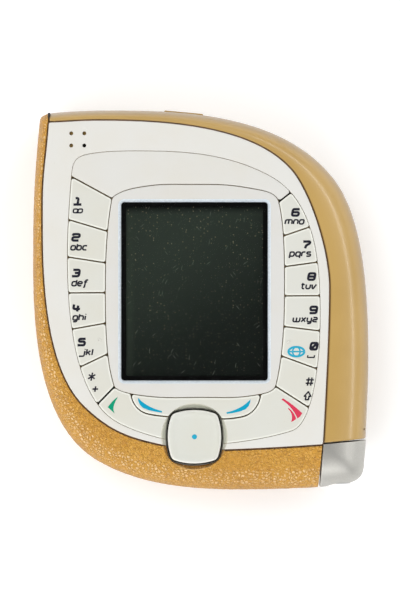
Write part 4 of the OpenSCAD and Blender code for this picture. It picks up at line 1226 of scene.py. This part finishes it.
def box_tool(low, high, turn=0.0, centre=(0, 0, 0), r=0.3):
    """A cutter block with round corners in the x-z plane, run along y and turned about z."""
    w, h = high[0] - low[0], high[2] - low[2]
    mid = ((low[0] + high[0]) / 2, (low[2] + high[2]) / 2)
    corners = np.array([(-w / 2, -h / 2), (w / 2, -h / 2), (w / 2, h / 2), (-w / 2, h / 2)])
    face = rounded(corners, r, steps=5) + mid
    n = len(face)
    verts = np.vstack([np.c_[face[:, 0], np.full(n, y), face[:, 1]] for y in (low[1], high[1])])
    faces = tube_faces(0, n, n) + [tuple(range(n)), tuple(range(2 * n - 1, n - 1, -1))]
    c, s = math.cos(math.radians(turn)), math.sin(math.radians(turn))
    turned = np.c_[verts[:, 0] * c - verts[:, 1] * s, verts[:, 0] * s + verts[:, 1] * c, verts[:, 2]]
    return turned + np.array(centre), faces


def build_covers():
    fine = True
    leather = cover_shell(LEFT_EDGE, LEFT_SEAM, 0.26 if fine else 0.6, 112 if fine else 60, pebble)
    leather = carve(leather, [WELL, box_tool((10.8, -50, 6.6), (23.2, -38, 10.6), r=0.5)])
    leather = show("leather_wrap", leather, "left_cover", "leather", "leather_cover", sharp=65)
    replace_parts(leather, "left_cover")

    slot_box = box_tool((-4.65, -3, -1.25), (4.65, 3, 1.25), turn=-5.2, centre=(-4, 43.15, COVER_MID), r=1.0)
    hole, hole_faces = lathe([(0.3, 0), (0.3, 6)], (0, 0, 0), 24)
    t = math.radians(30)
    tilted = np.c_[hole[:, 0] * math.cos(t) + hole[:, 2] * math.sin(t), hole[:, 1],
                   -hole[:, 0] * math.sin(t) + hole[:, 2] * math.cos(t)]
    tip = box_tool((-35.6, 40.7, 15.8), (-33.7, 41.12, 18.5))
    sand = carve(cover_shell(RIGHT_EDGE, RIGHT_SEAM, 0.5, 90),
                 [slot_box, (tilted + (37.2, -29.8, 12), hole_faces), tip])
    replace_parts(show("sand_wrap", sand, "right_cover", "sand", "sand_paint", sharp=50), "right_cover")

    # post of the strap eyelet, seen in the gap between the covers' upper ends
    post = tile([ground_rect(0.5, 2.1, 0.12, np.array([-34.95, 42.0]))],
                [[(0.1, 3), (0, 3.1), (0, 16.6), (0.1, 16.7)]])
    part("strap_post", post, "dark", "dark_plastic")


CAP_REACH = 10.0


def build_cap():
    """Silver corner: a fan of cover sections that meet at the plate's corner."""
    hinge = [(*CAP_CORNER, 0, 0, 0), (*(CAP_CORNER + 0.01), 0, 0, 0)]
    edges, _, drop = spine(CAP_EDGE, hinge, 0.35, soft=0.3)
    across = 70
    line = section(CAP_REACH, across, lip=0.2) / (CAP_REACH, 1)
    rows = []
    for p, d in zip(edges, drop):
        w = p - CAP_CORNER
        width = np.linalg.norm(w)
        prof = line * (width, 1)
        prof = (prof - side_of(prof) * d)[2:-2]
        rows.append(np.c_[CAP_CORNER + w / width * prof[:, :1], COVER_MID + prof[:, 1]])
    n, m = len(rows), len(rows[0])
    half = COVER_HALF - 0.05
    verts = np.vstack([*rows, [(*CAP_CORNER, COVER_MID + half), (*CAP_CORNER, COVER_MID - half)]])
    high, low = n * m, n * m + 1
    faces = []
    for s in range(n - 1):
        for k in range(m - 1):
            a = s * m + k
            faces.append((a, a + m, a + m + 1, a + 1))
        faces.append((high, (s + 1) * m, s * m))
        faces.append((low, s * m + m - 1, (s + 1) * m + m - 1))
    first, final = list(range(m)), [(n - 1) * m + k for k in range(m)]
    faces.append(tuple([high, *first, low]))
    faces.append(tuple([low, *final[::-1], high]))
    socket = lathe([(2.85, 30), (2.85, 50)], (31.6, 0, COVER_MID), 48, axis="-y")
    part("silver_corner", (verts, faces), "silver", "silver_paint", "corner_cap", cutters=[socket], sharp=50)


# ---------------------------------------------------------------- printed marks
# Each sign: its width, and its strokes in a field one unit tall with y = 0 on the line.
BOWL_A = [(0.8, 0.5), (0.8, 1), (0, 1), (0, 0), (0.8, 0), (0.8, 0.5)]
BOWL_B = [(0, 0.5), (0, 1), (0.8, 1), (0.8, 0), (0, 0), (0, 0.5)]
GLYPHS = {
    "1": (0.9, [[(0.16, 0.94), (0.5, 0.94), (0.5, 0.06)], [(0.06, 0.06), (0.94, 0.06)]]),
    "2": (0.9, [[(0.06, 0.72), (0.06, 0.94), (0.92, 0.94), (0.92, 0.52), (0.06, 0.52), (0.06, 0.06),
                 (0.9, 0.06)]]),
    "3": (0.9, [[(0.06, 0.94), (0.92, 0.94), (0.92, 0.06), (0.04, 0.06)], [(0.34, 0.51), (0.88, 0.51)]]),
    "4": (0.9, [[(0.1, 0.98), (0.1, 0.36), (0.98, 0.36)], [(0.66, 0.82), (0.66, 0.0)]]),
    "5": (0.9, [[(0.92, 0.94), (0.1, 0.94), (0.1, 0.56), (0.9, 0.56), (0.9, 0.06), (0.02, 0.06)]]),
    "6": (0.9, [[(0.94, 0.94), (0.08, 0.94), (0.08, 0.06), (0.92, 0.06), (0.92, 0.53), (0.1, 0.53)]]),
    "7": (0.9, [[(0.02, 0.94), (0.96, 0.94), (0.9, 0.62), (0.48, 0.42), (0.42, 0.0)]]),
    "8": (0.9, [[(0.5, 0.94), (0.1, 0.94), (0.1, 0.06), (0.92, 0.06), (0.92, 0.94), (0.5, 0.94)],
                [(0.12, 0.5), (0.9, 0.5)]]),
    "9": (0.9, [[(0.06, 0.06), (0.92, 0.06), (0.92, 0.94), (0.08, 0.94), (0.08, 0.47), (0.9, 0.47)]]),
    "0": (0.9, [[(0.5, 0.94), (0.08, 0.94), (0.08, 0.06), (0.92, 0.06), (0.92, 0.94), (0.5, 0.94)],
                [(0.2, 0.16), (0.8, 0.84)]]),
    "*": (0.9, [[(0.5, 0.98), (0.5, 0.02)], [(0.08, 0.26), (0.92, 0.74)], [(0.08, 0.74), (0.92, 0.26)]]),
    "#": (0.9, [[(0.3, 0.98), (0.3, 0.02)], [(0.7, 0.98), (0.7, 0.02)], [(0.02, 0.7), (0.98, 0.7)],
                [(0.02, 0.3), (0.98, 0.3)]]),
    "a": (0.8, [BOWL_A, [(0.8, 1), (0.8, 0)]]),
    "b": (0.8, [BOWL_B, [(0, 1.4), (0, 0)]]),
    "c": (0.72, [[(0.72, 1), (0, 1), (0, 0), (0.72, 0)]]),
    "d": (0.8, [BOWL_A, [(0.8, 1.4), (0.8, 0)]]),
    "e": (0.76, [[(0.04, 0.5), (0.76, 0.5), (0.76, 1), (0, 1), (0, 0), (0.7, 0)]]),
    "f": (0.6, [[(0.72, 1.4), (0.26, 1.4), (0.26, -0.35), (0.0, -0.35)], [(0.0, 0.95), (0.6, 0.95)]]),
    "g": (0.8, [BOWL_A, [(0.8, 1), (0.8, -0.42), (0.1, -0.42)]]),
    "h": (0.78, [[(0, 1.4), (0, 0)], [(0, 1), (0.78, 1), (0.78, 0)]]),
    "i": (0.1, [[(0.05, 1), (0.05, 0)], [(0.05, 1.3), (0.05, 1.46)]]),
    "j": (0.5, [[(0.45, 1), (0.45, -0.3), (-0.5, -0.3)], [(0.45, 1.3), (0.45, 1.46)]]),
    "k": (0.7, [[(0, 1.4), (0, 0)], [(0.68, 1), (0.06, 0.46)], [(0.26, 0.6), (0.72, 0)]]),
    "l": (0.1, [[(0.05, 1.4), (0.05, 0)]]),
    "m": (1.25, [[(0, 0), (0, 1), (1.25, 1), (1.25, 0)], [(0.62, 1), (0.62, 0)]]),
    "n": (0.78, [[(0, 0), (0, 1), (0.78, 1), (0.78, 0)]]),
    "o": (0.8, [[(0.4, 1), (0, 1), (0, 0), (0.8, 0), (0.8, 1), (0.4, 1)]]),
    "p": (0.8, [BOWL_B, [(0, 1), (0, -0.45)]]),
    "q": (0.8, [BOWL_A, [(0.8, 1), (0.8, -0.45)]]),
    "r": (0.6, [[(0, 0), (0, 1), (0.62, 1)]]),
    "s": (0.74, [[(0.74, 1), (0, 1), (0, 0.52), (0.74, 0.52), (0.74, 0), (0, 0)]]),
    "t": (0.62, [[(0.24, 1.35), (0.24, 0), (0.66, 0)], [(0, 0.98), (0.62, 0.98)]]),
    "u": (0.78, [[(0, 1), (0, 0), (0.78, 0), (0.78, 1)]]),
    "v": (0.74, [[(0, 1), (0.12, 0), (0.32, 0), (0.78, 1)]]),
    "w": (1.25, [[(0, 1), (0, 0), (1.25, 0), (1.25, 1)], [(0.62, 1), (0.62, 0)]]),
    "x": (0.76, [[(0, 1), (0.76, 0)], [(0, 0), (0.76, 1)]]),
    "y": (0.78, [[(0, 1), (0, 0), (0.78, 0)], [(0.78, 1), (0.78, -0.42), (0.12, -0.42)]]),
    "z": (0.74, [[(0, 1), (0.74, 1), (0.74, 0.5), (0, 0.5), (0, 0), (0.78, 0)]]),
    "oo": (2.1, [[(0.5, 1), (0.02, 1), (0.02, 0), (0.98, 0), (0.98, 1), (0.5, 1)],
                 [(1.6, 1), (1.12, 1), (1.12, 0), (2.08, 0), (2.08, 1), (1.6, 1)], [(0.5, 0), (1.6, 0)]]),
    "space": (1.8, [[(0.0, 0.6), (0.0, 0), (1.8, 0), (1.8, 0.6)]]),
    "plus": (1.0, [[(0.5, 0.95), (0.5, 0.05)], [(0.05, 0.5), (0.95, 0.5)]]),
    "arrow": (1.0, [[(0.5, 0.02), (0.28, 0.02), (0.28, 0.42), (0.02, 0.42), (0.5, 0.98), (0.98, 0.42),
                     (0.72, 0.42), (0.72, 0.02), (0.5, 0.02)]]),
}
SLANT = 0.19


def eased(points, r):
    """An open polyline with its corners rounded."""
    out = [points[0]]
    for a, b, c in zip(points[:-2], points[1:-1], points[2:]):
        la, lc = np.linalg.norm(a - b), np.linalg.norm(c - b)
        p, q = b + (a - b) * min(r, la / 2) / la, b + (c - b) * min(r, lc / 2) / lc
        out += [p * (1 - t)**2 + 2 * t * (1 - t) * b + q * t**2 for t in np.linspace(0, 1, 6)]
    out.append(points[-1])
    return tidy(np.array(out), 0.004, closed=False)


INK = 0.014


def ribbon(points, width, z, thick=INK):
    """A thin printed stroke along a polyline."""
    d = np.gradient(points, axis=0)
    d /= np.linalg.norm(d, axis=1)[:, None]
    left = np.c_[-d[:, 1], d[:, 0]] * width / 2
    n = len(points)
    corners = ((1, z), (1, z + thick), (-1, z + thick), (-1, z))
    verts = np.vstack([np.c_[points + left * s, np.full(n, h)] for s, h in corners])
    faces = []
    for i in range(n - 1):
        for k in range(4):
            a, b = k * n + i, ((k + 1) % 4) * n + i
            faces.append((a, b, b + 1, a + 1))
    faces += [(0, 3 * n, 2 * n, n), (n - 1, 2 * n - 1, 3 * n - 1, 4 * n - 1)]
    return verts, faces


def write(names, centre, high, stroke, wide=1.0, gap=0.32, corner=0.3):
    """Slanted stroke lettering of the named signs, centred on a point. high is the height of one unit."""
    total = sum(GLYPHS[g][0] for g in names) * wide + gap * (len(names) - 1)
    x = -total / 2
    parts = []
    for g in names:
        w, strokes = GLYPHS[g]
        for line in strokes:
            p = np.array(line, float)
            p = np.c_[(x + p[:, 0] * wide + SLANT * (p[:, 1] - 0.5)) * high, (p[:, 1] - 0.5) * high]
            thick = INK + 0.003 * (len(parts) % 3)
            parts.append(ribbon(eased(p, corner * high) + centre, stroke, KEY_TOP, thick))
        x += w * wide + gap
    return merge(*parts)


def blade(outline):
    """A thin printed patch."""
    p = tidy(np.array(outline, float), 0.02)
    area = np.sum(p[:, 0] * np.roll(p[:, 1], -1) - p[:, 1] * np.roll(p[:, 0], -1))
    return tile([p if area > 0 else p[::-1]], [[(0, KEY_TOP), (0, KEY_TOP + INK)]])


def bow(a, b, via, n=14):
    a, b, via = np.array(a, float), np.array(b, float), np.array(via, float)
    t = np.linspace(0, 1, n)[:, None]
    return [tuple(v) for v in (1 - t)**2 * a + 2 * t * (1 - t) * (2 * via - (a + b) / 2) + t**2 * b]


# Height and stroke of the signs, and what else sets them apart.
DIGITS = {"high": 1.66, "stroke": 0.56, "corner": 0.24, "wide": 1.06}
LETTERS = {"high": 0.95, "stroke": 0.36, "corner": 0.4, "wide": 1.27, "gap": 0.42}
STAR = {"high": 1.95, "stroke": 0.34, "corner": 0.01, "wide": 0.92}
SIGNS = {"1": {**DIGITS, "wide": 1.25}, "*": STAR, "#": STAR,
         "oo": {"high": 0.85, "stroke": 0.33, "corner": 0.45, "wide": 1.18},
         "space": {"high": 0.85, "stroke": 0.3, "corner": 0.1}, "plus": {"high": 1.4, "stroke": 0.36},
         "arrow": {"high": 1.9, "stroke": 0.34, "corner": 0.02, "wide": 0.84}}
# What is printed on each key, and where its centre is.
LEGENDS = {
    "key_1": [("1", (-28.34, 22.67)), ("oo", (-28.28, 20.47))],
    "key_2": [("2", (-28.78, 14.4)), ("abc", (-28.05, 12.0))],
    "key_3": [("3", (-28.78, 6.2)), ("def", (-27.91, 3.75))],
    "key_4": [("4", (-28.67, -1.81)), ("ghi", (-27.95, -4.1))],
    "key_5": [("5", (-27.45, -9.65)), ("jkl", (-26.1, -12.15))],
    "key_star": [("*", (-25.18, -17.6)), ("plus", (-24.28, -20.44))],
    "key_6": [("6", (21.66, 20.12)), ("mno", (21.5, 17.95))],
    "key_7": [("7", (24.1, 12.7)), ("pqrs", (22.8, 10.55))],
    "key_8": [("8", (25.31, 5.4)), ("tuv", (24.67, 3.1))],
    "key_9": [("9", (25.75, -2.27)), ("wxyz", (23.9, -4.5))],
    "key_0": [("0", (25.86, -10.61)), ("space", (25.3, -12.75))],
    "key_hash": [("#", (24.88, -18.72)), ("arrow", (24.49, -21.96))],
}


def printed(name, body, ink, *shapes):
    part(name, merge(*shapes), ink, body=body, weighted=False)


def build_marks():
    for key, rows in LEGENDS.items():
        parts = []
        for text, spot in rows:
            names = [text] if text in GLYPHS else list(text)
            style = SIGNS.get(text, DIGITS if len(text) == 1 else LETTERS)
            parts.append(write(names, spot, **style))
        printed(key + "_print", key, "ink", *parts)
    dome = [(r, KEY_TOP + rise)
            for r, rise in ((0.36, -0.05), (0.36, 0.02), (0.3, 0.1), (0.17, 0.16), (0.02, 0.18))]
    for key, spot in (("key_5", (-23.29, -9.07, 0)), ("key_0", (20.14, -9.6, 0))):
        part(key + "_dot", lathe(dome, spot, 28), "key", "key_plastic", body=key)
    # plain globe in place of the maker's sign
    t = np.linspace(0, 2 * math.pi, 49)
    centre = np.array((21.9, -11.85))
    hoops = [ribbon(centre + np.c_[a * np.cos(t), 1.08 * np.sin(t)], w, KEY_TOP, thick)
             for a, w, thick in ((1.82, 0.48, 0.022), (0.85, 0.34, 0.018))]
    bar = ribbon(np.array([(-1.8, 0.0), (1.8, 0.0)]) + centre, 0.34, KEY_TOP)
    printed("key_0_sign", "key_0", "sky", *hoops, bar)
    call = blade([(-19.1, -22.15), (-20.4, -23.3), (-21.42, -24.6), (-20.6, -25.35), (-19.78, -26.1)]
                 + bow((-19.78, -26.1), (-19.0, -22.25), (-20.05, -24.4))[1:-1])
    printed("call_key_sign", "call_key", "green", call)
    big = blade(bow((18.5, -22.88), (22.16, -27.2), (20.62, -24.72)) + [(22.75, -26.75), (23.25, -26.0)]
                + bow((23.25, -26.0), (18.82, -22.58), (21.12, -24.15))[1:])
    small = blade(bow((19.98, -24.95), (20.66, -28.0), (20.85, -26.4)) + [(21.3, -27.75), (21.85, -27.3)]
                  + bow((21.85, -27.3), (20.1, -24.8), (21.2, -25.9))[1:])
    printed("end_key_sign", "end_key", "red", big, small)
    left = blade(bow((-14.45, -22.45), (-8.95, -25.5), (-12.1, -24.3))
                 + [(-9.0, -25.84), (-10.25, -25.66), (-12.06, -25.28), (-13.4, -24.72), (-14.05, -24.0),
                    (-14.4, -23.2)])
    right = blade(bow((11.35, -22.8), (5.85, -25.8), (9.0, -24.65))
                  + [(5.9, -26.14), (7.1, -25.98), (8.95, -25.6), (10.3, -25.04), (10.95, -24.35),
                     (11.3, -23.5)])
    printed("soft_key_signs", "soft_key_bar", "blue", left, right)


# ---------------------------------------------------------------- set
TENT = 0.72


def area_light(name, spot, aim, size, power, long=None, along=None):
    """A soft rectangular light. along: the direction of its long side."""
    data = bpy.data.lights.new(name, "AREA")
    data.energy = power
    data.shape = "RECTANGLE"
    data.size = size
    data.size_y = long or size
    obj = bpy.data.objects.new(name, data)
    out = (Vector(aim) - Vector(spot)).normalized()
    side = Vector(along or (0, 1, 0))
    side = (side - out * side.dot(out)).normalized()
    turn = Matrix((side.cross(-out), side, -out)).transposed()
    obj.matrix_world = Matrix.Translation(spot) @ turn.to_4x4()
    obj.visible_camera = False
    bpy.context.scene.collection.objects.link(obj)


def build_set():
    scene = bpy.context.scene
    scene.view_settings.view_transform = "Standard"
    world = bpy.data.worlds.new("studio")
    scene.world = world
    world.use_nodes = True
    # even white tent, darker low down and straight overhead where the camera stands
    nodes, links = world.node_tree.nodes, world.node_tree.links
    sky = nodes["Background"]
    split = nodes.new("ShaderNodeSeparateXYZ")
    links.new(nodes.new("ShaderNodeTexCoord").outputs["Generated"], split.inputs[0])
    both = nodes.new("ShaderNodeMath")
    both.operation = "MINIMUM"
    for i, ends in enumerate(((0.8, 0.985, TENT, 0.03), (0.0, 0.55, TENT * 0.45, TENT))):
        fall = nodes.new("ShaderNodeMapRange")
        fall.interpolation_type = "SMOOTHSTEP"
        for key, value in zip(("From Min", "From Max", "To Min", "To Max"), ends):
            fall.inputs[key].default_value = value
        links.new(split.outputs[2], fall.inputs["Value"])
        links.new(fall.outputs["Result"], both.inputs[i])
    links.new(both.outputs[0], sky.inputs["Strength"])
    sky.inputs["Color"].default_value = (1, 1, 1, 1)
    area_light("overhead", (-0.8, 0.95, 1.2), (0, 0, 0), 1.0, 5.4)
    area_light("strip_right", (0.72, 0.36, 0.5), (0.02, 0.01, 0.01), 0.075, 4.6, 1.5, (-0.5, 0.86, 0))
    area_light("strip_left", (-0.72, -0.1, 0.42), (0, 0, 0.01), 0.08, 2.4, 1.1, (0.1, -1, 0))
    area_light("strip_low", (-0.12, -0.74, 0.46), (0, 0, 0.01), 0.09, 3.4, 1.1, (1, -0.1, 0))

    bpy.ops.mesh.primitive_grid_add(x_subdivisions=8, y_subdivisions=8, size=12, location=(0, 0, -0.00005))
    floor = bpy.context.object
    floor.name = "floor"
    floor.data.materials.append(MATERIALS["floor"])

    camera = bpy.data.objects.new("camera", bpy.data.cameras.new("camera"))
    scene.collection.objects.link(camera)
    # the whole 400 x 600 view is 137.8 mm tall at the face of the keys
    stand_off, seen, face = 1.6, 137.8 * MM, 18 * MM
    camera.data.sensor_width = 36
    camera.data.lens = 36 * stand_off / seen
    camera.location = (-0.23 * MM, 0.01 * MM, face + stand_off)
    camera.data.clip_start, camera.data.clip_end = 0.05, 60
    scene.camera = camera


build_front()
build_display()
build_keys()
build_navigation()
build_covers()
build_cap()
build_marks()
build_set()
